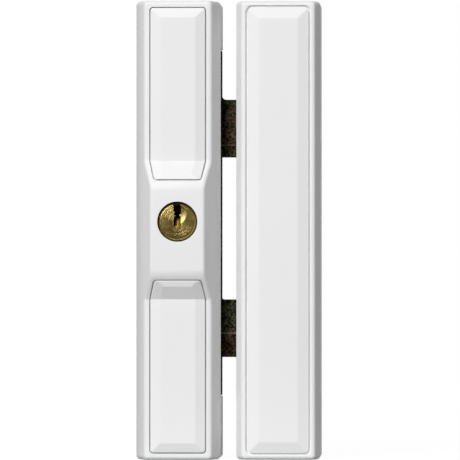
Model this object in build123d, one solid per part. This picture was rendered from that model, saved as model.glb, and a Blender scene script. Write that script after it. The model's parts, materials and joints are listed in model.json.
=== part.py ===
from build123d import *
import math
import os

# A surface-mounted window lock: a lock case with a key cylinder, and the strike case beside it.
# Millimetres. +X points right, +Z up, and the lock looks along -Y.
# The origin is the centre of the lock case's back, on the plane that both cases are screwed to.
# A depth is measured forward from that plane, so that Y = -depth.

# Sizes of the two cases
case_height = 165.0
case_width = 31.0
case_gap = 5.0
flank_slope = math.tan(math.radians(23.05))
side_draft = math.tan(math.radians(1.0))
corner_radius = 1.6
edge_radius = 1.4

# Lock housing
rim_depth = 27.0
boss_depth = 32.5
flank_foot_depth = 19.6
boss_half_height = 14.0
ramp_angle = 32.0
ramp_top_radius = 7.0
ramp_foot_radius = 2.0
side_wall = 1.6
end_wall = 1.6
front_wall = 2.8
boss_wall = 2.5

# Lids over the mounting screws
lid_half_width = 9.9
lid_inner_half_width = 8.3
lid_inner_end = 18.1
lid_bend = 20.3
lid_rise = 1.0
lid_inner_rise = 0.25
lid_bend_rise = 1.05
lid_spare = 0.5
lid_side_bevel = 3.6
lid_end_bevel = 3.4
lid_end_margin = 2.6
lid_corner_radius = 1.15
lid_gap = 0.3
lid_wall = 1.6
lid_seat = 1.6
lid_seat_gap = 0.1
ledge_width = 1.0
prong_length = 8.0
prong_thickness = 1.2
prong_depth = 3.9
prong_gap = 0.1
prong_places = (36.0, 64.0)

# Base plate, bed and bolt plate
base_thickness = 2.5
base_side_gap = 0.1
base_corner_radius = 1.5
bed_thickness = 1.5
bed_rib_height = 0.6
bed_rib_width = 1.2
bed_rib_pitch = 9.0
bed_left = -12.5
plate_gap = 0.1
plate_thickness = 3.5
plate_proud = 0.0
slot_edge_gap = 0.3
side_slot_depth = 17.5
spine_width = 11.0
spine_top = 65.5
spine_bottom = -59.8
tongue_height = 20.9
upper_tongue_z = 37.05
lower_tongue_z = -35.35
tongue_entry = 6.9
tongue_corner = 1.0
upper_root_radius = 1.5
lower_root_radius = 0.7
tab_top_gap = 0.43
tab_bottom = -8.0
tab_edge_radius = 0.5
tab_root_radius = 1.5

# Rack and pinion
pinion_teeth = 10
tooth_module = 0.77
pressure_angle = 25.0
addendum_factor = 0.8
dedendum_factor = 1.0
backlash = 0.12
flank_start = 1.0001
tooth_foot = 0.9
pinion_thickness = 2.6
rack_left = -1.4
rack_right = 13.6
rack_retainer_gap = 0.2
rack_body = 3.98
rivet_radius = 1.0
rivet_inset = 2.7

# Key cylinder
cylinder_z = 3.0
bore_radius = 7.2
head_radius = 6.7
head_chamfer = 0.5
head_recess = 0.3
head_gap = 0.05
plug_radius = 6.0
running_gap = 0.04
body_radius = 8.4
body_length = 16.8
chamber_half_width = 2.7
chamber_drop = 15.6
pin_pitch = 2.9
first_pin_inset = 2.6
pin_radius = 1.25
pin_gap = 0.05
pin_tips = (1.2, -0.3, 0.5, -0.7, 0.1)
pin_shear_gap = 0.2
driver_gap = 0.15
driver_length = 2.9
spring_outer = 1.1
spring_inner = 0.8
cap_length = 1.6
pin_end_gap = 0.1
keyway_end_wall = 1.8
tail_radius = 2.6
tail_key_radius = 2.0
tail_flat = 1.6
tail_stub_radius = 1.6
tail_stub_length = 0.9
clip_groove_radius = 1.2
clip_radius = 3.0
clip_thickness = 0.6
clip_mouth = 1.6

# The warded keyway, from the plug's centre: right side downwards, then left side upwards
keyway = (
    (1.2, 7.5), (1.2, 4.9), (1.35, 3.1), (0.7, 2.2), (1.1, 1.4), (1.1, -2.5), (-0.2, -2.5),
    (-0.35, -1.6), (-1.4, -1.4), (-1.4, -0.2), (-1.0, 1.6), (-0.6, 2.1), (-1.35, 2.7),
    (-0.7, 3.4), (-1.4, 4.0), (-1.2, 4.9), (-1.5, 6.1), (-1.5, 7.5),
)

# Cylinder retainer
retainer_thickness = 1.0
retainer_half_width = 10.0
retainer_margin = 3.4
retainer_hole_gap = 0.4
retainer_post_x = 7.0
retainer_post_upper = 15.0
retainer_post_lower = -14.5
retainer_post_radius = 2.7

# Screws and holes; a cutting shape runs past a face by the overrun
overrun = 1.0
mount_hole_radius = 2.25
mount_sink_radius = 4.2
mount_sink_depth = 1.3
mount_x = 4.7
mount_z = 74.5
thread_radius = 1.4
thread_gap = 0.05
screw_head_radius = 2.6
screw_head_height = 1.5
screw_head_margin = 0.5
screw_reach = 7.0
screw_end_gap = 1.0
housing_post_radius = 2.8
housing_post_x = 11.0
housing_post_end = 4.6
side_post_z = 35.0
housing_post_height = 16.0
housing_post_floor = 2.0
housing_rib_thickness = 1.2
sink_head_height = 1.4
sink_gap = 0.1

# Guides of the bolt plate
guide_left = -9.5
guide_right = 13.4
guide_length = 6.5
guide_overlap = 2.5
guide_roof = 1.5
guide_groove_spare = 3.0
guide_screw_x = (-7.0, 10.0)

# Strike case
strike_rim_depth = 24.0
strike_foot_depth = 19.06
panel_half_width = 11.0
panel_end_margin = 2.35
panel_bevel = 4.0
panel_rise = 1.0
panel_corner_radius = 1.9
groove_width = 0.7
groove_depth = 0.9
strike_wall = 1.6
strike_front_wall = 2.2
strike_base_thickness = 2.0
strike_base_gap = 0.1
strike_mount_x = 7.0
strike_mount_z = 65.0
strike_hole_radius = 2.25
strike_sink_radius = 4.2
notch_gap = 1.0
keeper_thickness = 2.3
keeper_wall = 2.5
keeper_height = 10.5
keeper_margin = 7.0
keeper_foot = 17.5
keeper_side_gap = 0.4
window_gap = 0.4
keeper_screw_inset = 4.5
keeper_screw_inset_x = 17.5
clip_leg_thickness = 0.6
clip_leg_height = 9.0
clip_length = 6.0
clip_rib_thickness = 2.0
clip_rib_gap = 0.1
clip_z = 73.0

# Sizes worked out from those above
half_height = case_height / 2
half_width = case_width / 2
strike_x = case_width + case_gap
strike_left = strike_x - half_width
bed_depth = base_thickness + bed_thickness + bed_rib_height
plate_back = bed_depth + plate_gap
plate_front = plate_back + plate_thickness
spine_right = half_width + plate_proud
spine_left = spine_right - spine_width
tongue_tip = strike_left + tongue_entry
keeper_screw_x = strike_left + keeper_screw_inset_x
slot_depth = plate_front + slot_edge_gap
pitch_radius = pinion_teeth * tooth_module / 2
addendum = addendum_factor * tooth_module
dedendum = dedendum_factor * tooth_module
tip_radius = pitch_radius + addendum
pitch_line = cylinder_z - pitch_radius
rack_root = pitch_line - dedendum
rack_bottom = rack_root - rack_body
tab_top = cylinder_z - tip_radius - tab_top_gap
body_front = boss_depth - boss_wall
body_back = body_front - body_length
retainer_back = body_back - retainer_thickness
rack_front = retainer_back - rack_retainer_gap
pinion_front = rack_front
pinion_back = pinion_front - pinion_thickness
head_front = boss_depth - head_recess
plug_back = body_back + pin_end_gap
tail_end = pinion_back - tail_stub_length
ramp_rise = boss_depth - rim_depth
ramp_run = ramp_rise / math.tan(math.radians(ramp_angle))
ramp_top = boss_half_height + ramp_top_radius * math.tan(math.radians(ramp_angle) / 2)
ramp_foot = ramp_top + ramp_run
lid_outer_end = half_height - lid_end_margin
inner_half_width = half_width - side_wall
inner_half_height = half_height - end_wall
key_pin_depths = [body_front - first_pin_inset - i * pin_pitch for i in range(len(pin_tips))]
travel = math.pi * pitch_radius


def front_plane(depth=0.0):
    """A plane seen from the front, at a depth; what is extruded from it grows towards the viewer."""
    return Plane.XZ.offset(depth)


def side_plane(x):
    """A plane across X with Z to the right and the depth upwards."""
    return Plane(origin=(x, 0, 0), x_dir=(0, 0, 1), z_dir=(1, 0, 0))


def cross_plane(z):
    """A plane across Z with X to the right and the depth upwards; it faces down."""
    return Plane(origin=(0, 0, z), x_dir=(1, 0, 0), z_dir=(0, 0, -1))


def outline(corners):
    """A flat face with one (x, y, radius) entry for each corner; radius 0 keeps the corner sharp."""
    points = [Vector(x, y) for x, y, radius in corners]
    edges = []
    ends = []
    for i, (x, y, radius) in enumerate(corners):
        here = points[i]
        to_last = (points[i - 1] - here).normalized()
        to_next = (points[(i + 1) % len(points)] - here).normalized()
        if radius == 0:
            ends.append((here, here))
            continue
        half_angle = math.radians(to_last.get_angle(to_next)) / 2
        reach = radius / math.tan(half_angle)
        middle = (to_last + to_next).normalized() * (radius / math.sin(half_angle) - radius)
        start = here + to_last * reach
        end = here + to_next * reach
        edges.append(ThreePointArc(start, here + middle, end))
        ends.append((start, end))
    for i, (start, end) in enumerate(ends):
        last = ends[i - 1][1]
        if (start - last).length > 1e-6:
            edges.append(Line(last, start))
    return make_face(Wire.combine(edges)[0].edges())


def block(x0, x1, d0, d1, z0, z1):
    """A box from one X, depth and Z to another."""
    return Pos((x0 + x1) / 2, -(d0 + d1) / 2, (z0 + z1) / 2) * Box(x1 - x0, d1 - d0, z1 - z0)


def slab(corners, d0, d1):
    """The outline seen from the front, between two depths."""
    return extrude(front_plane(d0) * outline(corners), d1 - d0)


def rectangle(x0, x1, z0, z1, radius=0.0):
    """The corners of a rectangle, for outline and slab."""
    return [(x0, z0, radius), (x1, z0, radius), (x1, z1, radius), (x0, z1, radius)]


def rod(x, z, d0, d1, radius):
    """A round rod along the depth."""
    return Pos(x, -(d0 + d1) / 2, z) * Rot(90, 0, 0) * Cylinder(radius, d1 - d0)


def upright(x, depth, z0, z1, radius):
    """A round rod along Z."""
    return Pos(x, -depth, (z0 + z1) / 2) * Cylinder(radius, z1 - z0)


def cone(x, z, d0, r0, d1, r1):
    """A round taper along the depth, from radius r0 at depth d0 to radius r1 at depth d1."""
    return Pos(x, -(d0 + d1) / 2, z) * Rot(90, 0, 0) * Cone(r0, r1, d1 - d0)


def joined(pieces):
    """One solid out of pieces that touch."""
    first, *others = pieces
    for other in others:
        first = first + other
    return first


def group(pieces):
    """Separate solids kept together as one sub-part."""
    return Compound(children=[solid for piece in pieces for solid in piece.solids()])


def flank_section(half, foot, top):
    """Cross-section of a case: sides with a mould's draft, then flanks that lean in to a top depth."""
    shoulder = half - foot * side_draft
    ridge = shoulder - (top - foot) * flank_slope
    return [(-half, 0, 0), (half, 0, 0), (shoulder, foot, 0), (ridge, top, 0),
            (-ridge, top, 0), (-shoulder, foot, 0)]


def long_profile(half, rim, rise_to, top_half, drop=0.0):
    """Side profile of the lock housing: rims, ramps and the boss, lowered by drop."""
    foot = top_half + (rise_to - rim) / math.tan(math.radians(ramp_angle))
    return [(-half, 0, 0), (half, 0, 0), (half, rim - drop, 0), (foot, rim - drop, ramp_foot_radius),
            (top_half, rise_to - drop, ramp_top_radius), (-top_half, rise_to - drop, ramp_top_radius),
            (-foot, rim - drop, ramp_foot_radius), (-half, rim - drop, 0)]


def housing_surface(z):
    """Depth of the housing's front on the rim and the ramp."""
    return rim_depth + max(0.0, ramp_foot - abs(z)) * math.tan(math.radians(ramp_angle))


def profile_prism(profile, half):
    """A side profile carried across the width."""
    return extrude(side_plane(-half) * outline(profile), 2 * half)


def section_prism(section, half):
    """A cross-section carried along the height."""
    return extrude(cross_plane(half) * outline(section), 2 * half)


def soften(part, depth):
    """Rounds the four long corners, then the closed loop of edges round the front."""
    corners = [e for e in part.edges() if abs(abs(e.center().Z) - half_height) < 0.01
               and abs(e.center().Y) < depth - 0.1 and abs(e.tangent_at(0.5).Y) > 0.5]
    part = fillet(corners, corner_radius)
    loop = [e for e in part.edges() if e.bounding_box().max.Y < 0.05 - depth]
    return fillet(loop, edge_radius)


def lid_plan(grow):
    """Outline of a lid seen from the front, made larger or smaller all round; upper lid."""
    w = lid_half_width + grow
    inner = lid_inner_half_width + grow
    low = lid_inner_end - grow
    high = lid_outer_end + grow
    radius = lid_corner_radius + max(grow, 0.0)
    return [(-inner, low, radius), (inner, low, radius), (w, ramp_foot, 0), (w, high, radius),
            (-w, high, radius), (-w, ramp_foot, 0)]


def lid_section(z, lower, rise, floor):
    """One cross-section of the lid at a height z, run past the sides; its bevels have one slope."""
    share = min(1.0, (z - lid_inner_end) / (ramp_foot - lid_inner_end))
    wide = lid_inner_half_width + share * (lid_half_width - lid_inner_half_width)
    slope = lid_rise / lid_side_bevel
    edge = housing_surface(z) - lower
    far = wide + overrun
    low = edge - overrun * slope
    flat = wide - rise / slope
    top = edge + rise
    return cross_plane(z) * outline([(-far, floor, 0), (far, floor, 0), (far, low, 0),
                                     (flat, top, 0), (-flat, top, 0), (-far, low, 0)])


def lid_body(lower, floor):
    """The lid's facets as ruled spans, lowered by some depth and run past both ends."""
    end_slope = lid_rise / lid_end_bevel
    inner_slope = (lid_bend_rise - lid_inner_rise) / (lid_bend - lid_inner_end)
    stations = [(lid_outer_end + lid_spare, -lid_spare * end_slope),
                (lid_outer_end - lid_end_bevel, lid_rise), (ramp_foot, lid_rise),
                (lid_bend, lid_bend_rise),
                (lid_inner_end - lid_spare, lid_inner_rise - lid_spare * inner_slope)]
    sections = [lid_section(z, lower, rise, floor) for z, rise in stations]
    return joined([loft([a, b], ruled=True) for a, b in zip(sections, sections[1:])])


def make_lid():
    """Upper lid: facets on top, a skirt that seats on the housing's ledge, and four friction prongs."""
    seat = long_profile(half_height, rim_depth, boss_depth, ramp_top, lid_seat - lid_seat_gap)
    seat_solid = profile_prism(seat, half_width)
    body = lid_body(0.0, rim_depth / 2)
    body = body & slab(lid_plan(0.0), rim_depth / 2, boss_depth)
    body = body - seat_solid
    hollow = lid_body(lid_wall, rim_depth / 2)
    body = body - (hollow & slab(lid_plan(-lid_wall), rim_depth / 2, boss_depth))
    outer = lid_half_width + lid_gap - ledge_width - prong_gap
    prong_top = rim_depth - lid_seat + lid_seat_gap
    prongs = []
    for z in prong_places:
        for side in (-1, 1):
            x0, x1 = sorted((side * outer, side * (outer - prong_thickness)))
            prong = block(x0, x1, prong_top - prong_depth, prong_top + lid_seat_gap,
                          z - prong_length / 2, z + prong_length / 2)
            web = block(x0, x1, prong_top, rim_depth, z - prong_length / 2, z + prong_length / 2)
            prongs += [prong, web]
    return joined([body] + prongs)


def make_housing():
    """The white housing: leaning flanks, ramps up to the boss, two lid openings with ledges."""
    outer = profile_prism(long_profile(half_height, rim_depth, boss_depth, ramp_top), half_width)
    outer = outer & section_prism(flank_section(half_width, flank_foot_depth, boss_depth), half_height)
    outer = soften(outer, rim_depth)
    inner = profile_prism(long_profile(inner_half_height, rim_depth - front_wall,
                                       boss_depth - boss_wall, ramp_top - boss_wall / 2), half_width)
    inner = inner & section_prism(flank_section(inner_half_width, flank_foot_depth, boss_depth),
                                  half_height)
    shell = outer - inner
    ledge = profile_prism(long_profile(half_height, rim_depth, boss_depth, ramp_top, lid_seat),
                          half_width)
    rebate = slab(lid_plan(lid_gap), rim_depth / 2, boss_depth + overrun) - ledge
    through = slab(lid_plan(lid_gap - ledge_width), rim_depth / 2, boss_depth + overrun)
    opening = rebate + through
    shell = shell - opening - mirror(opening, Plane.XY)
    # the key cylinder's bore, and the long side slot of the bolt plate, open towards the window
    shell = shell - rod(0, cylinder_z, body_back, boss_depth + overrun, bore_radius)
    shell = shell - block(inner_half_width - overrun, half_width + overrun, -overrun, side_slot_depth,
                          spine_bottom - slot_edge_gap, spine_top + slot_edge_gap)
    for x, z in housing_posts():
        shell = shell + housing_post(x, z)
    for x, z in retainer_posts():
        shell = shell + rod(x, z, body_back, body_front + boss_wall / 2, retainer_post_radius)
    pilot = thread_radius + thread_gap
    post_floor = base_thickness + housing_post_height - housing_post_floor
    for x, z in housing_posts():
        shell = shell - rod(x, z, base_thickness, post_floor, pilot)
    for x, z in retainer_posts():
        shell = shell - rod(x, z, body_back, body_back + screw_reach, pilot)
    return shell


def housing_post(x, z):
    """A screw post, tied to the nearest walls by thin ribs as in a moulding."""
    top = base_thickness + housing_post_height
    half = housing_rib_thickness / 2
    wall_x = math.copysign(half_width - side_wall / 2, x)
    x0, x1 = sorted((x, wall_x))
    post = rod(x, z, base_thickness, top, housing_post_radius)
    post = post + block(x0, x1, base_thickness, top, z - half, z + half)
    if abs(z) > inner_half_height - 2 * housing_post_radius:
        z0, z1 = sorted((z, math.copysign(half_height - end_wall / 2, z)))
        post = post + block(x - half, x + half, base_thickness, top, z0, z1)
    return post


def housing_posts():
    """Posts that take the screws from behind: one in each corner and two beside the bolt plate."""
    end = half_height - housing_post_end
    corners = [(x, z) for x in (-housing_post_x, housing_post_x) for z in (-end, end)]
    return corners + [(-housing_post_x, -side_post_z), (-housing_post_x, side_post_z)]


def retainer_posts():
    """Posts behind the boss that take the retainer's screws."""
    return [(x, z) for x in (-retainer_post_x, retainer_post_x)
            for z in (retainer_post_upper, retainer_post_lower)]


def countersunk(x, z, d0, d1, radius, sink_radius, sink_depth):
    """A hole with its countersink at depth d1."""
    hole = rod(x, z, d0 - overrun, d1 + overrun, radius)
    return hole + cone(x, z, d1 - sink_depth, radius, d1, sink_radius)


def screw_sink(x, z):
    """A countersunk screw from behind, head flush with the back of the base plate."""
    head = cone(x, z, sink_gap, screw_head_radius, sink_gap + sink_head_height, thread_radius)
    end = housing_post_height - housing_post_floor
    return head + rod(x, z, sink_gap + sink_head_height, end, thread_radius)


def make_base_plate():
    """Steel base plate: mounting holes, screw holes and a lip that closes the bolt slot below."""
    half_x = inner_half_width - base_side_gap
    half_z = inner_half_height - base_side_gap
    plate = slab(rectangle(-half_x, half_x, -half_z, half_z, base_corner_radius), 0, base_thickness)
    lip = block(0, half_width - base_side_gap, 0, base_thickness, spine_bottom, spine_top)
    plate = plate + lip
    for x in (-mount_x, mount_x):
        for z in (-mount_z, mount_z):
            plate = plate - countersunk(x, z, 0, base_thickness, mount_hole_radius,
                                        mount_sink_radius, mount_sink_depth)
    for x, z in housing_posts():
        plate = plate - rod(x, z, -overrun, base_thickness + overrun, thread_radius + sink_gap)
        plate = plate - cone(x, z, 0, screw_head_radius + sink_gap,
                             sink_head_height + sink_gap, thread_radius + sink_gap)
    for x, z, direction in guide_screw_places():
        plate = plate - rod(x, z, -overrun, base_thickness + overrun, thread_radius + thread_gap)
    return plate


def guide_screw_places():
    """Places of the screws in the two guides."""
    upper = spine_top - guide_overlap + guide_length - screw_head_radius + screw_head_margin
    lower = spine_bottom + guide_overlap - guide_length + screw_head_radius - screw_head_margin
    return [(x, z, side) for z, side in ((upper, 1), (lower, -1)) for x in guide_screw_x]


def make_bed():
    """Plastic bed under the bolt plate, with low ribs along its travel."""
    low = spine_bottom + guide_overlap + plate_gap
    high = spine_top - guide_overlap - plate_gap
    right = half_width - 2 * base_side_gap
    bed = block(bed_left, right, base_thickness, base_thickness + bed_thickness, low, high)
    count = int((high - low - 2 * bed_rib_width) / bed_rib_pitch)
    for i in range(count + 1):
        z = (low + high) / 2 + (i - count / 2) * bed_rib_pitch
        bed = bed + block(bed_left, right, base_thickness, bed_depth,
                          z - bed_rib_width / 2, z + bed_rib_width / 2)
    for z in (-side_post_z, side_post_z):
        reach = housing_post_radius + prong_gap
        bed = bed - rod(-housing_post_x, z, 0, plate_back, reach)
        bed = bed - block(bed_left - overrun, -housing_post_x, 0, plate_back, z - reach, z + reach)
    return bed


def make_bolt_plate():
    """Spine, two tongues and the tab that carries the rack, cut from one plate."""
    upper_low = upper_tongue_z - tongue_height / 2
    upper_high = upper_tongue_z + tongue_height / 2
    lower_low = lower_tongue_z - tongue_height / 2
    lower_high = lower_tongue_z + tongue_height / 2
    corners = [
        (spine_left, spine_bottom, tongue_corner), (spine_right, spine_bottom, tongue_corner),
        (spine_right, lower_low, 0), (tongue_tip, lower_low, tongue_corner),
        (tongue_tip, lower_high, tongue_corner), (spine_right, lower_high, lower_root_radius),
        (spine_right, upper_low, 0), (tongue_tip, upper_low, tongue_corner),
        (tongue_tip, upper_high, tongue_corner), (spine_right, upper_high, upper_root_radius),
        (spine_right, spine_top, tongue_corner), (spine_left, spine_top, tongue_corner),
        (spine_left, tab_top, tab_root_radius), (rack_left, tab_top, tab_edge_radius),
        (rack_left, tab_bottom, tab_edge_radius), (spine_left, tab_bottom, tab_root_radius),
    ]
    plate = slab(corners, plate_back, plate_front)
    for x, z in rivet_places():
        plate = plate - rod(x, z, plate_back - overrun, plate_front + overrun, rivet_radius)
    return plate


def rivet_places():
    """Places of the two rivets that hold the rack."""
    z = rack_bottom + rack_body / 2
    return [(rack_left + rivet_inset, z), (rack_right - rivet_inset, z)]


def make_rack():
    """Rack: straight-sided teeth that face up, in mesh with the pinion at rest."""
    pitch = math.pi * tooth_module
    lean = math.tan(math.radians(pressure_angle))
    half_tooth = pitch / 4 - backlash / 4
    tip = half_tooth - addendum * lean
    root = half_tooth + dedendum * lean
    bar = block(rack_left, rack_right, plate_front, rack_front, rack_bottom, rack_root)
    first = math.ceil(rack_left / pitch - 1)
    last = math.floor(rack_right / pitch + 1)
    for i in range(first, last + 1):
        x = (i + 0.5) * pitch
        tooth = slab([(x - root, rack_root, 0), (x + root, rack_root, 0),
                      (x + tip, pitch_line + addendum, 0), (x - tip, pitch_line + addendum, 0)],
                     plate_front, rack_front)
        bar = bar + tooth
    bar = bar & block(rack_left, rack_right, plate_front, rack_front, rack_bottom, pitch_line + overrun)
    for x, z in rivet_places():
        bar = bar - rod(x, z, plate_front - overrun, rack_front + overrun, rivet_radius)
    return bar


def involute_point(base, radius, side, centre_angle, half_angle):
    """A point of a tooth flank at a radius; half_angle is half the tooth at the pitch circle."""
    def spread(r):
        a = math.acos(base / r)
        return math.tan(a) - a
    angle = centre_angle + side * (half_angle + spread(pitch_radius) - spread(radius))
    return Vector(radius * math.cos(angle), radius * math.sin(angle))


def make_pinion():
    """Ten-tooth pinion with involute flanks; one tooth points straight down at rest."""
    base = pitch_radius * math.cos(math.radians(pressure_angle))
    root = pitch_radius - dedendum
    pitch = math.pi * tooth_module
    half_angle = (pitch / 2 - backlash / 2) / 2 / pitch_radius
    low = base * flank_start
    radii = (low, (low + tip_radius) / 2, tip_radius)
    gear = Circle(root)
    for i in range(pinion_teeth):
        centre = -math.pi / 2 + i * 2 * math.pi / pinion_teeth
        left = [involute_point(base, r, 1, centre, half_angle) for r in radii]
        right = [involute_point(base, r, -1, centre, half_angle) for r in radii]
        foot_left = left[0].normalized() * (root * tooth_foot)
        foot_right = right[0].normalized() * (root * tooth_foot)
        tip = Vector(tip_radius * math.cos(centre), tip_radius * math.sin(centre))
        edges = [Line(foot_left, left[0]), ThreePointArc(*left), ThreePointArc(left[2], tip, right[2]),
                 ThreePointArc(*reversed(right)), Line(right[0], foot_right), Line(foot_right, foot_left)]
        gear = gear + make_face(edges)
    gear = gear - tail_key()
    return extrude(front_plane(pinion_back) * Pos(0, cylinder_z) * gear, pinion_thickness)


def tail_key():
    """Round section with two flats, by which the plug's tail drives the pinion."""
    return Circle(tail_key_radius) & Rectangle(2 * tail_flat, 3 * tail_key_radius)


def make_plug():
    """Turning plug: head, barrel with the warded keyway and pin holes, and the driving tail."""
    z = cylinder_z
    plug = rod(0, z, body_front + head_gap, head_front - head_chamfer, head_radius)
    plug = plug + cone(0, z, head_front - head_chamfer, head_radius, head_front,
                       head_radius - head_chamfer)
    plug = plug + rod(0, z, plug_back, body_front + head_gap, plug_radius)
    plug = plug + rod(0, z, pinion_front, plug_back, tail_radius)
    plug = plug + extrude(front_plane(pinion_back) * Pos(0, z) * tail_key(), pinion_thickness)
    plug = plug + rod(0, z, tail_end, pinion_back, tail_stub_radius)
    plug = plug - (rod(0, z, pinion_back - clip_thickness, pinion_back, tail_key_radius)
                   - rod(0, z, pinion_back - clip_thickness, pinion_back, clip_groove_radius))
    slot = [(x, z + dz, 0) for x, dz in keyway]
    plug = plug - slab(slot, plug_back + keyway_end_wall, head_front + overrun)
    for depth, tip in zip(key_pin_depths, pin_tips):
        plug = plug - upright(0, depth, z - plug_radius - overrun, z + tip, pin_radius + pin_gap)
    return plug


def make_cylinder_body():
    """Brass body: a round barrel with the pin chamber below it."""
    z = cylinder_z
    body = rod(0, z, body_back, body_front, body_radius)
    body = body + block(-chamber_half_width, chamber_half_width, body_back, body_front,
                        z - chamber_drop, z)
    body = body - rod(0, z, body_back - overrun, body_front + overrun, plug_radius + running_gap)
    for depth in key_pin_depths:
        body = body - upright(0, depth, z - chamber_drop - overrun, z, pin_radius + pin_gap)
    return body


def make_key_pins():
    """Pins of different lengths in the plug, at the height to which the right key lifts them."""
    low = cylinder_z - plug_radius + pin_shear_gap
    pins = []
    for depth, top in zip(key_pin_depths, pin_tips):
        high = cylinder_z + top
        straight = upright(0, depth, low, high - pin_radius / 2, pin_radius)
        tip = Pos(0, -depth, high - pin_radius / 4) * Cone(pin_radius, pin_radius / 2, pin_radius / 2)
        pins.append(straight + tip)
    return group(pins)


def make_driver_pins():
    """Driver pins in the body, just clear of the turning plug."""
    high = cylinder_z - plug_radius - driver_gap
    return group([upright(0, d, high - driver_length, high, pin_radius) for d in key_pin_depths])


def make_pin_springs():
    """Springs under the driver pins, as plain tubes."""
    high = cylinder_z - plug_radius - driver_gap - driver_length
    low = cylinder_z - chamber_drop + cap_length
    return group([upright(0, d, low, high, spring_outer)
                  - upright(0, d, low - overrun, high + overrun, spring_inner)
                  for d in key_pin_depths])


def make_chamber_caps():
    """Plugs that close the pin holes from below."""
    low = cylinder_z - chamber_drop
    return group([upright(0, d, low, low + cap_length, pin_radius + pin_gap) for d in key_pin_depths])


def make_pinion_clip():
    """Open spring clip in the tail's groove, behind the pinion."""
    z = cylinder_z
    clip = rod(0, z, pinion_back - clip_thickness, pinion_back, clip_radius)
    clip = clip - rod(0, z, pinion_back - 2 * clip_thickness, pinion_front, clip_groove_radius)
    return clip - block(-clip_mouth / 2, clip_mouth / 2, pinion_back - 2 * clip_thickness,
                        pinion_front, z, z + clip_radius + overrun)


def make_retainer():
    """Steel plate across the housing's posts that holds the cylinder in its bore."""
    low = retainer_post_lower - retainer_margin
    high = retainer_post_upper + retainer_margin
    plate = slab(rectangle(-retainer_half_width, retainer_half_width, low, high, base_corner_radius),
                 retainer_back, body_back)
    plate = plate - rod(0, cylinder_z, retainer_back - overrun, body_back + overrun,
                        tail_radius + retainer_hole_gap)
    for x, z in retainer_posts():
        plate = plate - rod(x, z, retainer_back - overrun, body_back + overrun, thread_radius + sink_gap)
    return plate


def pan_screw(x, z, seat, reach):
    """A screw whose head stands behind a seat and whose shank runs forward to a depth."""
    head = rod(x, z, seat - screw_head_height, seat, screw_head_radius)
    drive = block(x - screw_head_radius, x + screw_head_radius, seat - screw_head_height,
                  seat - screw_head_height / 2, z - thread_radius / 4, z + thread_radius / 4)
    return (head - drive) + rod(x, z, seat, reach, thread_radius)


def make_guide(direction):
    """Grooved block over one end of the bolt plate; direction is 1 for the upper one."""
    end = spine_top if direction > 0 else spine_bottom
    low, high = sorted((end - direction * guide_overlap,
                        end - direction * guide_overlap + direction * guide_length))
    roof = plate_front + plate_gap + guide_roof
    guide = slab(rectangle(guide_left, guide_right, low, high, tab_edge_radius), base_thickness, roof)
    z0, z1 = sorted((end - direction * (guide_overlap + overrun), end + direction * plate_gap))
    groove = block(spine_left - travel - guide_groove_spare, half_width, plate_back - plate_gap,
                   plate_front + plate_gap, z0, z1)
    guide = guide - groove
    for x, z, side in guide_screw_places():
        if side == direction:
            guide = guide - rod(x, z, 0, roof + overrun, thread_radius + thread_gap)
    return guide


def make_guide_screws():
    """Screws of the guides, from the front into the base plate."""
    seat = plate_front + plate_gap + guide_roof
    screws = []
    for x, z, side in guide_screw_places():
        head = rod(x, z, seat, seat + screw_head_height, screw_head_radius)
        drive = block(x - screw_head_radius, x + screw_head_radius, seat + screw_head_height / 2,
                      seat + screw_head_height + overrun, z - thread_radius / 4, z + thread_radius / 4)
        screws.append((head - drive) + rod(x, z, sink_gap, seat, thread_radius))
    return group(screws)


def strike_profile(half, top):
    """Side profile of the strike cover: a plain long block."""
    return [(-half, 0, 0), (half, 0, 0), (half, top, 0), (-half, top, 0)]


def tongue_spans():
    """Lower and upper edges of the two tongues."""
    return [(z - tongue_height / 2, z + tongue_height / 2) for z in (upper_tongue_z, lower_tongue_z)]


def make_strike_cover():
    """One-piece cover with a raised, bevelled panel in a moulded groove, notched for the tongues."""
    outer = profile_prism(strike_profile(half_height, strike_rim_depth), half_width)
    outer = outer & section_prism(flank_section(half_width, strike_foot_depth, strike_rim_depth),
                                  half_height)
    outer = soften(outer, strike_rim_depth)
    inner_depth = strike_rim_depth - strike_front_wall
    inner = profile_prism(strike_profile(half_height - strike_wall, inner_depth), half_width)
    inner = inner & section_prism(flank_section(half_width - strike_wall, strike_foot_depth,
                                                strike_rim_depth), half_height)
    cover = outer - inner
    px = panel_half_width
    pz = half_height - panel_end_margin
    ring = slab(rectangle(-px - groove_width, px + groove_width, -pz - groove_width, pz + groove_width,
                          panel_corner_radius + groove_width), strike_rim_depth - groove_depth,
                strike_rim_depth + overrun)
    ring = ring - slab(rectangle(-px, px, -pz, pz, panel_corner_radius), 0, strike_rim_depth + 2 * overrun)
    low = front_plane(strike_rim_depth) * outline(rectangle(-px, px, -pz, pz))
    high = front_plane(strike_rim_depth + panel_rise) * outline(
        rectangle(panel_bevel - px, px - panel_bevel, panel_bevel - pz, pz - panel_bevel))
    panel = loft([low, high], ruled=True)
    panel = panel & slab(rectangle(-px, px, -pz, pz, panel_corner_radius), 0,
                         strike_rim_depth + 2 * overrun)
    cover = cover - ring + panel
    for z0, z1 in tongue_spans():
        cover = cover - block(-half_width - overrun, 0, -overrun, slot_depth + notch_gap, z0 - notch_gap,
                              z1 + notch_gap)
    for z in (-clip_z, clip_z):
        rib = block(-clip_rib_thickness / 2, clip_rib_thickness / 2,
                    strike_base_thickness + 2 * clip_leg_thickness, inner_depth,
                    z - clip_length / 2, z + clip_length / 2)
        cover = cover + rib
    return Pos(strike_x, 0, 0) * cover


def keeper_span():
    """Lower and upper end of the keeper."""
    spans = tongue_spans()
    return spans[1][0] - keeper_margin, spans[0][1] + keeper_margin


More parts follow.
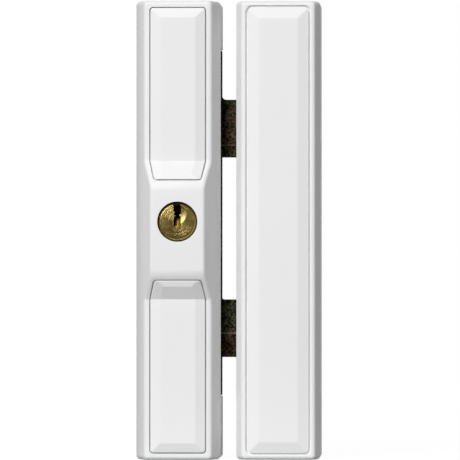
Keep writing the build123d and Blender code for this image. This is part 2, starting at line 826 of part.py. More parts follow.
def keeper_screw_heights():
    """Heights of the keeper's screws: beside each end and on both sides of the middle."""
    low, high = keeper_span()
    inner = (upper_tongue_z - tongue_height / 2 - keeper_margin,
             lower_tongue_z + tongue_height / 2 + keeper_margin)
    return [low + keeper_screw_inset, inner[1], inner[0], high - keeper_screw_inset]


def make_strike_base():
    """Steel base plate of the strike case."""
    half_x = half_width - strike_wall - strike_base_gap
    half_z = half_height - strike_wall - strike_base_gap
    plate = slab(rectangle(strike_x - half_x, strike_x + half_x, -half_z, half_z, base_corner_radius),
                 0, strike_base_thickness)
    for x in (-strike_mount_x, strike_mount_x):
        for z in (-strike_mount_z, strike_mount_z):
            plate = plate - countersunk(strike_x + x, z, 0, strike_base_thickness, strike_hole_radius,
                                        strike_sink_radius, mount_sink_depth)
    for z in keeper_screw_heights():
        plate = plate - rod(keeper_screw_x, z, -overrun, strike_base_thickness + overrun,
                            thread_radius + thread_gap)
    return plate


def make_keeper():
    """Steel angle whose upright wall has a window for each tongue."""
    low, high = keeper_span()
    x0 = strike_left + strike_wall + keeper_side_gap
    d0 = strike_base_thickness
    foot = slab(rectangle(x0, x0 + keeper_foot, low, high, tab_edge_radius), d0, d0 + keeper_thickness)
    wall = slab(rectangle(x0, x0 + keeper_wall, low, high), d0, d0 + keeper_height)
    keeper = foot + wall
    for z0, z1 in tongue_spans():
        keeper = keeper - block(x0 - overrun, x0 + keeper_wall + overrun, plate_back - window_gap / 2,
                                plate_front + window_gap, z0 - window_gap, z1 + window_gap)
    for z in keeper_screw_heights():
        keeper = keeper - countersunk(keeper_screw_x, z, d0, d0 + keeper_thickness,
                                      thread_radius + thread_gap, screw_head_radius + sink_gap,
                                      sink_head_height + sink_gap)
    return keeper


def make_keeper_screws():
    """Countersunk screws that hold the keeper on the strike base."""
    top = strike_base_thickness + keeper_thickness - sink_gap
    screws = []
    for z in keeper_screw_heights():
        head = cone(keeper_screw_x, z, top - sink_head_height, thread_radius, top, screw_head_radius)
        screws.append(head + rod(keeper_screw_x, z, sink_gap, top - sink_head_height, thread_radius))
    return group(screws)


def make_cover_clips():
    """U-shaped spring clips on the strike base that grip the cover's ribs."""
    clips = []
    inner = clip_rib_thickness / 2 + clip_rib_gap
    d0 = strike_base_thickness
    for z in (-clip_z, clip_z):
        z0 = z - clip_length / 2 + clip_rib_gap
        z1 = z + clip_length / 2 - clip_rib_gap
        sole = block(strike_x - inner - clip_leg_thickness, strike_x + inner + clip_leg_thickness,
                     d0, d0 + clip_leg_thickness, z0, z1)
        left = block(strike_x - inner - clip_leg_thickness, strike_x - inner, d0,
                     d0 + clip_leg_height, z0, z1)
        right = block(strike_x + inner, strike_x + inner + clip_leg_thickness, d0,
                      d0 + clip_leg_height, z0, z1)
        clips.append(sole + left + right)
    return group(clips)


upper_lid = make_lid()
parts = {
    "lock_base_plate": make_base_plate(),
    "bolt_bed": make_bed(),
    "bolt_plate": make_bolt_plate(),
    "bolt_rack": make_rack(),
    "rack_rivets": group([rod(x, z, plate_back, rack_front, rivet_radius) for x, z in rivet_places()]),
    "upper_bolt_guide": make_guide(1),
    "lower_bolt_guide": make_guide(-1),
    "guide_screws": make_guide_screws(),
    "lock_housing": make_housing(),
    "housing_screws": group([screw_sink(x, z) for x, z in housing_posts()]),
    "cylinder_body": make_cylinder_body(),
    "cylinder_plug": make_plug(),
    "key_pins": make_key_pins(),
    "driver_pins": make_driver_pins(),
    "pin_springs": make_pin_springs(),
    "chamber_caps": make_chamber_caps(),
    "drive_pinion": make_pinion(),
    "pinion_clip": make_pinion_clip(),
    "cylinder_retainer": make_retainer(),
    "retainer_screws": group([pan_screw(x, z, retainer_back, body_back + screw_reach - screw_end_gap)
                              for x, z in retainer_posts()]),
    "upper_lid": upper_lid,
    "lower_lid": mirror(upper_lid, Plane.XY),
    "strike_base_plate": make_strike_base(),
    "strike_keeper": make_keeper(),
    "keeper_screws": make_keeper_screws(),
    "strike_cover": make_strike_cover(),
    "cover_clips": make_cover_clips(),
}

os.makedirs("parts", exist_ok=True)
for name, shape in parts.items():
    export_step(shape, f"parts/{name}.step")
    print(name, len(shape.solids()), round(shape.volume, 1))
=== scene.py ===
# %% [markdown]
# A window lock in two cases
# The lock is screwed to a window: the left case holds a key cylinder that throws two steel tongues
# into the strike case on the right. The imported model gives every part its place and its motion.
# This lesson dresses that model: white moulded covers, turned brass, plated steel, screws with
# threads. All lengths are metres, X points right, Z up, and the front of the lock faces -Y.

# %% Load the frame
import bpy
import bmesh
import json
import math
import numpy as np
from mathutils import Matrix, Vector

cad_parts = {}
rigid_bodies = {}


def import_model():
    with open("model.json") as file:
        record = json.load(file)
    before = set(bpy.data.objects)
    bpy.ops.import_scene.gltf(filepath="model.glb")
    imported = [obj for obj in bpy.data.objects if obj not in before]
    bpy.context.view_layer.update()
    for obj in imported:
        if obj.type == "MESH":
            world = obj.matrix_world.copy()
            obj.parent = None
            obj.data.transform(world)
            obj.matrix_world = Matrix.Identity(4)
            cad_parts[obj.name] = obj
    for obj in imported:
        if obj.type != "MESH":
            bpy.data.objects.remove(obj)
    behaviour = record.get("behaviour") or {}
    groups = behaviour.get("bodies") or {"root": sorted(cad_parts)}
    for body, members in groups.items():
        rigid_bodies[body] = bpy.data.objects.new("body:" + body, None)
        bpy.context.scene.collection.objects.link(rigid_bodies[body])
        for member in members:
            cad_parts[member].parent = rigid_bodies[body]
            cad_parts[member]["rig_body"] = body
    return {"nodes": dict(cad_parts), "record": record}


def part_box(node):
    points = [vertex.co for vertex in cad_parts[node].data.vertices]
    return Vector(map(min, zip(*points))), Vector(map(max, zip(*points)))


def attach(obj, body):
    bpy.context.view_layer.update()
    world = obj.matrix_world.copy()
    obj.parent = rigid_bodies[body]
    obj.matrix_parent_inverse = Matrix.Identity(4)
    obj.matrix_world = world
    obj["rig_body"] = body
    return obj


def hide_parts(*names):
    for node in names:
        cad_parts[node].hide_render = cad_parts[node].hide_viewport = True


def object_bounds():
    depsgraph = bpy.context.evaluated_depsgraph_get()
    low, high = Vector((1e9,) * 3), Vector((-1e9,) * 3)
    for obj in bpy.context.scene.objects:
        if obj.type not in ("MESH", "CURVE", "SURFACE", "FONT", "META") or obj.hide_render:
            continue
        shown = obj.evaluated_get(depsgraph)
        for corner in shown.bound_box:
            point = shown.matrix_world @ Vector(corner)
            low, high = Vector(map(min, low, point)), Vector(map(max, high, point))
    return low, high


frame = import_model()
nodes = frame["nodes"]
cad_box = [list(corner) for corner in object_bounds()]
body_of_node = {name: node["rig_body"] for name, node in nodes.items()}
slot_of_node = {row["node"]: row["material_slot"] for row in frame["record"]["subparts"]}
MM = 0.001
print("nodes", len(nodes), "box", [[round(v, 4) for v in c] for c in cad_box])

# %% [markdown]
# Meshes from whole arrays
# Every new surface is a grid: one parameter runs along a path, the other round an outline. It is
# worked out as one array, so its formula is read in one place, and its faces follow from the grid's
# size. Most outlines are a plan, x and z seen from the front, with a depth for each point.

# %% Grids of points and their faces
def grid_faces(rows, columns, wrap_rows=False, wrap_columns=False):
    """Quads between neighbouring grid points; a wrapped side joins its end to its start."""
    r = np.arange(rows if wrap_rows else rows - 1)
    c = np.arange(columns if wrap_columns else columns - 1)
    r, c = np.meshgrid(r, c, indexing="ij")
    r_next, c_next = (r + 1) % rows, (c + 1) % columns
    quads = np.stack([r * columns + c, r * columns + c_next,
                      r_next * columns + c_next, r_next * columns + c], axis=-1)
    return quads.reshape(-1, 4)


def raised(plan, depth):
    """Points over a plan of x and z: the depth, counted from the window, runs along minus y."""
    return np.stack([plan[..., 0], np.broadcast_to(-np.asarray(depth), plan.shape[:-1]),
                     plan[..., 1]], -1)


def stacked(rings):
    """Rings of (plan, depth), all with the same number of points, as one grid of points."""
    return np.stack([raised(plan, depth) for plan, depth in rings])


def capped_tube(rings):
    """A closed tube: quads between the rings of a grid, and one many-sided face at each end."""
    count, around = rings.shape[:2]
    last = (count - 1) * around
    faces = [tuple(f) for f in grid_faces(count, around, wrap_columns=True)]
    ends = [tuple(range(around))[::-1], tuple(last + i for i in range(around))]
    return rings.reshape(-1, 3), faces + ends


print("a grid of 3 by 4 points has", len(grid_faces(3, 4)), "faces")

# %% [markdown]
# From points to a piece
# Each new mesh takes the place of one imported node. Its doubled points are merged and its normals
# turned outwards, it is shaded smooth up to a sharp angle, and it rides on the node's own body.

# %% Arrays and meshes
same_point = 2e-6


def read(items, key, width, kind=float):
    """A property of all vertices, corners or faces of a mesh as an array of rows."""
    values = np.empty(len(items) * width, kind)
    items.foreach_get(key, values)
    return values.reshape(-1, width)


def join_parts(parts):
    """Several (points, faces) pairs as one pair; the point numbers of each later part move up."""
    points, faces, start = [], [], 0
    for part_points, part_faces in parts:
        part_points = np.asarray(part_points, float).reshape(-1, 3)
        points.append(part_points)
        faces += [tuple(int(i) + start for i in face) for face in part_faces]
        start += len(part_points)
    return np.concatenate(points), faces


def mesh_from(name, points, faces):
    """A mesh from an array of points and a list of faces: doubles merged, normals outward."""
    mesh = bpy.data.meshes.new(name)
    mesh.from_pydata(points.tolist(), [], faces)
    tidy = bmesh.new()
    tidy.from_mesh(mesh)
    bmesh.ops.remove_doubles(tidy, verts=tidy.verts, dist=same_point)
    bmesh.ops.recalc_face_normals(tidy, faces=tidy.faces)
    tidy.to_mesh(mesh)
    tidy.free()
    return mesh


print("points less than", same_point, "m apart are one")

# %% A finished piece for a node
finished = {}


def place(node, mesh, degrees=32.0):
    """A finished piece for a node, on its body; edges past the angle stay sharp."""
    mesh.polygons.foreach_set("use_smooth", np.ones(len(mesh.polygons), bool))
    mesh.set_sharp_from_angle(angle=math.radians(degrees))
    piece = bpy.data.objects.new(node + "_finished", mesh)
    bpy.context.scene.collection.objects.link(piece)
    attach(piece, body_of_node[node])
    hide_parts(node)
    finished[node] = piece
    print(piece.name, "stands for", node, "with", len(mesh.polygons), "faces")
    return piece


def build(node, parts, degrees=40.0):
    """A finished piece from (points, faces) parts."""
    return place(node, mesh_from(node + "_finished", *join_parts(parts)), degrees)


print("nodes that wait for a finished piece", len(nodes) - len(finished))

# %% [markdown]
# Softening the machined edges
# No real edge is perfectly sharp: the rim of light along it is what makes a part look solid. The
# CAD nodes are loose triangles, so a copy is merged, its flat faces are joined into whole polygons,
# and a Bevel modifier rounds every edge that bends sharply. The node itself stays as it was.

# %% Softened copies of CAD nodes
def softened(node, radius, segments=2, degrees=38.0):
    """A copy of a CAD node with merged points, flat faces joined, and rounded sharp edges."""
    tidy = bmesh.new()
    tidy.from_mesh(nodes[node].data)
    bmesh.ops.remove_doubles(tidy, verts=tidy.verts, dist=1.5 * same_point)
    bmesh.ops.dissolve_limit(tidy, angle_limit=math.radians(0.6), verts=tidy.verts,
                             edges=tidy.edges)
    mesh = bpy.data.meshes.new(node + "_finished")
    tidy.to_mesh(mesh)
    tidy.free()
    if "custom_normal" in mesh.attributes:
        mesh.attributes.remove(mesh.attributes["custom_normal"])
    edge = place(node, mesh).modifiers.new("edge radius", "BEVEL")
    edge.width = radius
    edge.segments = segments
    edge.limit_method = "ANGLE"
    edge.angle_limit = math.radians(degrees)
    edge.harden_normals = True


print("the bolt plate comes as", len(nodes["bolt_plate"].data.polygons), "loose triangles")

# %% [markdown]
# Steel and plastic parts that only need soft edges
# Plates, guides, keeper, rack and pinion have the right shape already. Each gets the edge radius
# that its making leaves, in millimetres: about a tenth on punched and turned metal, two or three
# tenths on a moulding.

# %% Soften the plates, mouldings and turned parts
edge_radii = {
    "lock_base_plate": 0.15, "bolt_bed": 0.2, "bolt_plate": 0.16, "bolt_rack": 0.08,
    "upper_bolt_guide": 0.25, "lower_bolt_guide": 0.25, "cylinder_body": 0.15,
    "drive_pinion": 0.06, "pinion_clip": 0.08, "cylinder_retainer": 0.12,
    "strike_base_plate": 0.15, "strike_keeper": 0.2, "cover_clips": 0.08, "rack_rivets": 0.12,
}
for node, radius in edge_radii.items():
    softened(node, radius * MM)
softened("lock_housing", 0.3 * MM, segments=3, degrees=30.0)
print("softened", len(finished))

# %% [markdown]
# The sizes that the new pieces need
# Where a node begins and ends is read from the frame. Only what a box can't tell is written out,
# such as the slope of the ramps.

# %% Sizes read from the frame
lid_low, lid_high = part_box("upper_lid")
strike_low, strike_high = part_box("strike_cover")
plug_low, plug_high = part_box("cylinder_plug")
rim_depth = 27.0 * MM
ramp_foot, ramp_slope = 24.81 * MM, math.tan(math.radians(32.0))
plug_height = 3.0 * MM
print("lid", lid_low[:], lid_high[:], "strike cover", strike_low[:], strike_high[:])

# %% [markdown]
# Facets with soft creases
# On a moulding two facets meet in a narrow round, not in a knife edge. A facet is a plane: a depth
# that changes evenly with x and z. The lowest of several planes is a faceted hill, and a soft
# minimum rounds all its creases at once. Turned over, as a soft maximum, it fills inner corners.

# %% Soft minimum, and the surface of the lock case
crease = 0.025 * MM


def soft_min(*heights, blend=crease):
    """The least height, rounded: minus blend times the log of the sum of exp(-height / blend)."""
    stack = np.stack(np.broadcast_arrays(*heights)) / blend
    low = stack.min(axis=0)
    return blend * (low - np.log(np.exp(low - stack).sum(axis=0)))


def soft_max(*heights, blend=crease):
    """The greatest of the heights, rounded the same way."""
    return -soft_min(*[-np.asarray(h) for h in heights], blend=blend)


def case_surface(z):
    """Depth of the lock case's front: level on the rim, and rising on the ramp to the middle."""
    z = np.abs(z)
    return soft_max(np.full_like(z, rim_depth), rim_depth + (ramp_foot - z) * ramp_slope)


print("case surface beside the key", case_surface(np.array([18.1 * MM])))

# %% [markdown]
# The two lids over the mounting screws
# Each lid is a shallow hill: a long flat top, bevels along its sides and its outer end, and two
# steeper facets that climb the ramp towards the key. Its outline tapers at the inner end. Rings run
# round that outline, from the middle of the top to the edge, down the skirt and back underneath,
# and make one closed shell.

# %% Outline of a lid
lid_inner, lid_outer = lid_low.z, lid_high.z
lid_wide, lid_narrow = lid_high.x, 8.3 * MM
lid_corner, least_corner = 1.15 * MM, 0.15 * MM


def arc(centre_x, centre_z, radius, turn):
    """Points on a circle: the centre plus the radius times the cosine and sine of each turn."""
    return np.stack([centre_x + radius * np.cos(turn), centre_z + radius * np.sin(turn)], -1)


def lid_outline(grow):
    """Plan of the lid, larger by grow: end, corner arc, taper, side, arc, end, then mirrored."""
    inner, outer = lid_inner - grow, lid_outer + grow
    narrow, wide = lid_narrow + grow, lid_wide + grow
    radius = max(lid_corner + grow, least_corner)
    lean = math.atan2(lid_wide - lid_narrow, ramp_foot - lid_inner)
    centre_x = narrow - radius * (1 - math.sin(lean)) / math.cos(lean)
    inner_arc = arc(centre_x, inner + radius, radius, np.linspace(-math.pi / 2, -lean, 9))
    outer_arc = arc(wide - radius, outer - radius, radius, np.linspace(0, math.pi / 2, 9))
    bend = np.array([wide, ramp_foot])
    half = np.concatenate([
        np.linspace([0, inner], inner_arc[0], 22, endpoint=False), inner_arc[:-1],
        np.linspace(inner_arc[-1], bend, 44, endpoint=False),
        np.linspace(bend, outer_arc[0], 110, endpoint=False), outer_arc[:-1],
        np.linspace(outer_arc[-1], [0, outer], 26)])
    return np.concatenate([half, half[-2:0:-1] * [-1, 1]])


print("lid outline points", len(lid_outline(0.0)))

# %% [markdown]
# Heights of the lid's facets
# The flat stands one millimetre proud of the rim. The side bevels fall 1 in 3.6, the end bevel
# 1 in 3.4. On the ramp the top climbs a little more steeply than the case, then eases off.

# %% Facets of a lid
flat_depth = rim_depth + 1.0 * MM
end_run, side_run = 3.4, 3.6
climb_slope, ease_slope = 0.636, 0.2612
ease_start, ease_depth = 20.3 * MM, rim_depth + 3.868 * MM


def lid_top(x, z):
    """Depth of the top: soft minimum of the climbing flat, the end bevel and the side bevels."""
    share = np.clip((z - lid_inner) / (ramp_foot - lid_inner), 0, 1)
    wide = lid_narrow + share * (lid_wide - lid_narrow)
    climb = flat_depth + (ramp_foot - z) * climb_slope
    ease = ease_depth + (ease_start - z) * ease_slope
    top = soft_max(np.full_like(z, flat_depth), soft_min(climb, ease))
    end = rim_depth + (lid_outer - z) / end_run
    side = case_surface(z) + (wide - np.abs(x)) / side_run
    return soft_min(top, end, side)


print("lid top in the middle", lid_top(np.zeros(1), np.array([50 * MM])))

# %% The shell that the facets make
lid_round, lid_wall, lid_seat = 0.32 * MM, 1.6 * MM, 1.5 * MM
lid_spine = lid_inner + 8.2 * MM, lid_outer - 9.8 * MM


def drawn_in(plan, share, low, high):
    """A plan drawn in to the line x = 0 between two heights: 0 leaves it, 1 lays it on the line."""
    spine = np.stack([np.zeros(len(plan)), np.clip(plan[:, 1], low, high)], -1)
    return plan + share * (spine - plan)


def lid_rings():
    """Rings from the middle of the top, over its rounded edge, down the skirt, back underneath."""
    rings = []
    rim, inside = lid_outline(-lid_round), lid_outline(-lid_wall)
    for share in np.linspace(1, 0, 56):
        plan = drawn_in(rim, share, *lid_spine)
        rings.append((plan, lid_top(*plan.T)))
    for turn in np.linspace(0, math.pi / 2, 7)[1:]:
        plan = lid_outline(-lid_round * (1 - math.sin(turn)))
        rings.append((plan, lid_top(*plan.T) - lid_round * (1 - math.cos(turn))))
    for plan in (lid_outline(0.0), inside):
        rings.append((plan, case_surface(plan[:, 1]) - lid_seat))
    for share in np.linspace(0, 1, 16):
        plan = drawn_in(inside, share, *lid_spine)
        rings.append((plan, lid_top(*plan.T) - lid_wall))
    return rings


lid_points = stacked(lid_rings())
lid_faces = grid_faces(*lid_points.shape[:2], wrap_columns=True)
print("lid shell", lid_points.shape, "faces", len(lid_faces))

# %% [markdown]
# Prongs, and both lids
# Under each lid four flat prongs with chamfered tips press against the rim of the opening. The
# lower lid is the upper one mirrored in z; a mirror turns faces inside out, and the normals are
# worked out anew when the mesh is made.

# %% Bars, and the two lids
def bar(centre, half, tip, root, chamfer=0.35 * MM):
    """A rectangular bar from depth tip to depth root, as rings of four corners; the tip narrows."""
    corners = np.array([[-1, -1], [1, -1], [1, 1], [-1, 1]])
    insets = np.array([chamfer, 0.0, 0.0])
    depths = np.array([tip, tip + chamfer * 1.5, root])
    plan = np.array(centre) + corners * (np.array(half) - insets[:, None, None])
    return capped_tube(raised(plan, depths[:, None]))


prongs = [bar((x, z), (0.6 * MM, 4.0 * MM), tip=21.6 * MM, root=26.9 * MM)
          for x in (-8.5 * MM, 8.5 * MM) for z in (36 * MM, 64 * MM)]
whole_lid, whole_faces = join_parts([(lid_points, lid_faces)] + prongs)
build("upper_lid", [(whole_lid, whole_faces)])
build("lower_lid", [(whole_lid * [1, 1, -1], whole_faces)])

# %% [markdown]
# The strike cover
# The right-hand cover is a long box whose flanks lean in. On its front a groove frames a raised
# panel with four bevels. It is drawn as rounded rectangles, stacked from the middle of the panel
# outwards, over the edge, down to the window, and back inside.

# %% Rounded rectangles with the same number of points
strike_x = (strike_low.x + strike_high.x) / 2
notch_edges = np.array([-46.8, -23.9, 25.6, 48.5]) * MM
side_reach, least_gap = 79 * MM, 0.4 * MM
side_heights = np.unique(np.concatenate([np.linspace(-78, 78, 131) * MM, notch_edges]))
apart = np.abs(side_heights[:, None] - notch_edges[None]).min(axis=1)
side_heights = side_heights[(apart < same_point) | (apart > least_gap)]


def rounded_rectangle(half_x, half_z, radius):
    """Plan from sizes in mm: corner arcs and sides; the long sides keep their heights."""
    half_x, half_z, radius = half_x * MM, half_z * MM, radius * MM
    corners = [arc(x * (half_x - radius), z * (half_z - radius), radius,
                   np.linspace(start, start + math.pi / 2, 9))
               for x, z, start in ((1, -1, -math.pi / 2), (1, 1, 0), (-1, 1, math.pi / 2),
                                   (-1, -1, math.pi))]
    heights = side_heights * min(1.0, (half_z - radius) / side_reach)
    across = np.linspace(half_x - radius, radius - half_x, 26)[1:-1]
    right = np.stack([np.full(len(heights), half_x), heights], -1)
    top = np.stack([across, np.full(len(across), half_z)], -1)
    return np.concatenate([corners[0], right, corners[1], top, corners[2], right[::-1] * [-1, 1],
                           corners[3], top[::-1] * [1, -1]])


def outward_share():
    """How far each outline point faces up or down, not sideways: 0 on the sides, 1 on the ends."""
    turn = np.sin(np.linspace(-math.pi / 2, 0, 9)) ** 2
    sides, ends = np.zeros(len(side_heights)), np.ones(24)
    return np.concatenate([turn, sides, turn[::-1], ends, turn, sides, turn[::-1], ends])


def level(half_x, half_z, radius, depth):
    """One ring, with all sizes in mm: a rounded rectangle that is level at its depth."""
    return rounded_rectangle(half_x, half_z, radius), depth * MM


print("cover outline points", len(outward_share()))

# %% [markdown]
# Panel and groove
# The panel's depth is again a soft minimum of planes, so its bevels meet in true mitres. The groove
# is a row of level rings: half width, half height, corner radius and depth in millimetres.

# %% Rings of the panel and the groove
panel_x, panel_z, panel_corner = 11.0, 80.15, 1.9
panel_edge, panel_flat, panel_round = 24.0, 25.0, 0.12
cover_spine = -69 * MM, 69 * MM
groove = ((panel_x, panel_z, panel_corner, 23.25), (11.15, 80.3, 2.05, 23.1),
          (11.55, 80.7, 2.45, 23.1), (11.7, 80.85, 2.6, 23.25), (11.7, 80.85, 2.6, 23.88),
          (11.74, 80.89, 2.5, 23.96), (11.84, 80.95, 2.2, 24.0))


def panel_top(plan):
    """Depth of the panel: level in the middle, falling 1 in 4 along all four sides."""
    x, z = np.abs(plan.T)
    return soft_min(np.full_like(x, panel_flat * MM), panel_edge * MM + (panel_x * MM - x) / 4,
                    panel_edge * MM + (panel_z * MM - z) / 4)


def panel_rings():
    """Rings from the panel's middle to its rim, over the small round there, and the groove."""
    rings = []
    for turn in np.linspace(0, math.pi / 2, 5):
        inset = panel_round * (1 - math.sin(turn))
        plan = rounded_rectangle(panel_x - inset, panel_z - inset, panel_corner - inset)
        rings.append((plan, panel_top(plan) - panel_round * MM * (1 - math.cos(turn))))
    rim = rings[0][0]
    inner = [drawn_in(rim, share, *cover_spine) for share in np.linspace(1, 0, 56)]
    return [(plan, panel_top(plan)) for plan in inner] + rings[1:] + [level(*row) for row in groove]


print("rings of the panel and groove", len(panel_rings()))

# %% [markdown]
# Edge, flank and wall
# The outer edge is a quarter round on the ends but less on the leaning flanks, so the two are mixed
# round each corner. A soft maximum rounds the bend between a flank and the side below it, and the
# wall inside follows at an even distance.

# %% Rings of the edge, the flank and the wall
cover_x, cover_z, cover_corner, inner_corner = 15.5, 82.5, 1.6, 0.4
cover_wall, cover_ceiling, notch_top = 1.6, 21.8, 9.5
edge_round, edge_depth = 1.4, 22.6
flank_foot, flank_lean = 19.06, math.radians(23.05)
draft = math.tan(math.radians(1.0))


def wall_rings():
    """Rings over the outer edge, down flank and side to the window, and back along the inside."""
    rings, share, slope = [], outward_share(), math.tan(flank_lean)
    side = cover_x - flank_foot * draft
    centre_x = side - (edge_depth - flank_foot) * slope - edge_round / math.cos(flank_lean)
    for t in np.linspace(1, 0, 9):
        across, along = flank_lean + t * (math.pi / 2 - flank_lean), t * math.pi / 2
        inset = edge_round * (1 - math.cos(along))
        plan = rounded_rectangle(centre_x + edge_round * math.cos(across), cover_z - inset,
                                 cover_corner - inset)
        rise = (1 - share) * math.sin(across) + share * math.sin(along)
        rings.append((plan, (edge_depth + edge_round * rise) * MM))
    for depth in (21.6, 20.4, 19.5, 19.2, 19.06, 18.9, 18.6):
        inward = soft_max(depth * draft, cover_x - side + (depth - flank_foot) * slope, blend=0.06)
        rings.append(level(cover_x - float(inward), cover_z, cover_corner, depth))
    for inset, depth in ((0.0, notch_top), (0.0, 0.0), (cover_wall, 0.0), (cover_wall, notch_top),
                         (cover_wall, flank_foot)):
        rings.append(level(cover_x - inset - depth * draft, cover_z - inset,
                           max(cover_corner - inset, inner_corner), depth))
    rings.append(level(side - cover_wall - (cover_ceiling - flank_foot) * slope,
                       cover_z - cover_wall, inner_corner, cover_ceiling))
    inside, depth = rings[-1]
    return rings + [(drawn_in(inside, t, *cover_spine), depth) for t in (0.5, 1.0)]


cover_points = stacked(panel_rings() + wall_rings()) + [strike_x, 0, 0]
cover_faces = grid_faces(*cover_points.shape[:2], wrap_columns=True)
print("cover rings", cover_points.shape)

# %% [markdown]
# Notches for the tongues
# The tongues enter through two notches in the left wall, open towards the window. The grid has a
# line on each notch edge: the faces between those lines are left out, and strips between the outer
# and the inner wall close the cut.

# %% Cut the notches and close their edges
slack = 1e-7
wall_x, side_x = strike_x - 13.0 * MM, strike_x - 15.0 * MM


def cut_notches(points, faces):
    """Leaves out the wall's faces between the notch lines, and adds strips that close the cut.

    The wall's outer and inner surface are the eighth to the fifth ring from the end.
    """
    corners = points.reshape(-1, 3)[faces]
    low, high = corners[..., 2].min(axis=1), corners[..., 2].max(axis=1)
    at_wall = corners[..., 0].max(axis=1) < wall_x
    at_wall &= corners[..., 1].min(axis=1) > -(notch_top + 0.01) * MM
    left, heights = points[-8, :, 0] < side_x, points[-8, :, 2]
    top, foot, inner_foot, inner_top = (len(points) - np.arange(8, 4, -1)) * points.shape[1]
    inside, strips = np.zeros(len(faces), bool), []
    for start, end in notch_edges.reshape(2, 2) + [-slack, slack]:
        inside |= at_wall & (low > start) & (high < end)
        span = np.flatnonzero(left & (heights > start) & (heights < end))
        strips += [(top + i, top + j, inner_top + j, inner_top + i)
                   for i, j in zip(span[:-1], span[1:])]
        strips += [(top + i, foot + i, inner_foot + i, inner_top + i) for i in span[[0, -1]]]
    print("notch faces left out", int(inside.sum()), "strips", len(strips))
    return [tuple(f) for f in faces[~inside]] + strips


ribs = [bar((strike_x, z), (1.0 * MM, 3.0 * MM), tip=3.2 * MM, root=22.2 * MM, chamfer=0.2 * MM)
        for z in (-73 * MM, 73 * MM)]
build("strike_cover", [(cover_points, cut_notches(cover_points, cover_faces))] + ribs)

# %% [markdown]
# Pins and caps
# Pins and caps are lathe work: a profile of radius and height, carried round its axis. Where each
# one stands is read from the node: its solids are found as islands of joined triangles.

# %% Where the solids of a node stand
def solids_of(node):
    """Corners of each loose solid: points at one place share a number, and triangles spread it."""
    mesh = nodes[node].data
    points = read(mesh.vertices, "co", 3)
    corners = read(mesh.loops, "vertex_index", 1, int)
    whole = np.round(points / same_point).astype(int)
    label = np.unique(whole, axis=0, return_inverse=True)[1].ravel()
    faces = label[corners.reshape(-1, 3)]
    island = np.arange(label.max() + 1)
    while True:
        spread = island.copy()
        np.minimum.at(spread, faces.ravel(), np.repeat(island[faces].min(axis=1), 3))
        if (spread == island).all():
            break
        island = spread
    owner = island[label]
    own = [points[owner == i] for i in np.unique(owner)]
    return [(solid.min(axis=0), solid.max(axis=0)) for solid in own]


def build_each(node, make):
    """One piece made of the same shape at each solid of a node; make gets the two corners."""
    build(node, [make(low, high) for low, high in solids_of(node)])


print("solids", {node: len(solids_of(node)) for node in ("key_pins", "guide_screws")})

# %% Profiles turned round an upright axis
def turned(profile, y=0.0, count=28):
    """Surface of revolution round Z: r cos a, y plus r sin a, and z, from rows of (radius, z)."""
    profile = np.asarray(profile, float)
    angle = np.linspace(0, 2 * math.pi, count, endpoint=False)
    r, z = profile[:, 0, None], profile[:, 1, None]
    points = np.stack([r * np.cos(angle), y + r * np.sin(angle),
                       np.broadcast_to(z, (len(profile), count))], -1)
    return points.reshape(-1, 3), grid_faces(len(profile), count, wrap_columns=True)


def pin_profile(radius, low, high, top, waist=0.0):
    """A rod with a rounded foot, a tip that narrows to top times the radius, and a waist."""
    turn = np.linspace(0, math.pi / 2, 5)
    edge, cone = 0.25 * radius, (1 - top) * radius
    foot = np.stack([radius - edge + edge * np.sin(turn), low + edge * (1 - np.cos(turn))], -1)
    along = np.linspace(0.22, 0.78, 9)
    dip = np.sin(math.pi * (along - 0.22) / 0.56) ** 0.5
    neck = np.stack([radius - waist * dip, low + along * (high - low)], -1)
    tip = [[radius, high - cone], [top * radius, high - 0.12 * radius], [0.72 * top * radius, high]]
    return np.concatenate([[[0, low]], foot, neck, tip, [[0, high]]])


def cap_profile(radius, low, high):
    """A cap with a shallow cup below, a small chamfer, and a flat top."""
    return [[0, low + 0.3 * MM], [0.6 * MM, low + 0.3 * MM], [0.9 * MM, low], [1.15 * MM, low],
            [radius, low + 0.15 * MM], [radius, high], [0, high]]


turned_kinds = {"key_pins": (pin_profile, 0.5), "driver_pins": (pin_profile, 0.9, 0.28 * MM),
                "chamber_caps": (cap_profile,)}
for node, (profile, *shape) in turned_kinds.items():
    build_each(node, lambda low, high: turned(profile(high[0], low[2], high[2], *shape),
                                              (low[1] + high[1]) / 2))

# %% [markdown]
# Pin springs
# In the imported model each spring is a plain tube. Here it is a round wire swept along a helix of
# seven turns, whose end turns lie close together as a coiler leaves them.

# %% Helix of round wire
def spring(low, high, wire=0.15 * MM, turns=7, around=8):
    """Tube round a helix whose climb is slower at its ends; the section is radial and upright."""
    t = np.linspace(0, 1, turns * 20 + 1)
    climb = t - 0.1 * np.sin(2 * math.pi * t)
    angle = 2 * math.pi * turns * t
    z = low[2] + wire + climb * (high[2] - low[2] - 2 * wire)
    radial = np.stack([np.cos(angle), np.sin(angle), np.zeros_like(angle)], -1)
    centre, coil = (low + high) / 2 * [1, 1, 0], high[0] - wire
    line = centre + coil * radial + z[:, None] * [0, 0, 1]
    section = np.linspace(0, 2 * math.pi, around, endpoint=False)[None, :, None]
    return capped_tube(line[:, None] + wire * (np.cos(section) * radial[:, None]
                                               + np.sin(section) * np.array([0, 0, 1.0])))


build_each("pin_springs", spring)

# %% [markdown]
# Screws
# A screw's head is cut by a drive: a straight slot on the machine screws, a cross on the others.
# The head is a stack of cross-sections, one for each height across its disc, and the drive is a
# term in the depth of its top. The thread is a wave in the radius that climbs as it goes round.

# %% Drives and head of a screw
slot_half, slot_ramp = 0.41 * MM, 0.1 * MM
cross_half, cross_ramp, cross_reach, cross_fade = 0.42 * MM, 0.16 * MM, 1.6 * MM, 1.5 * MM


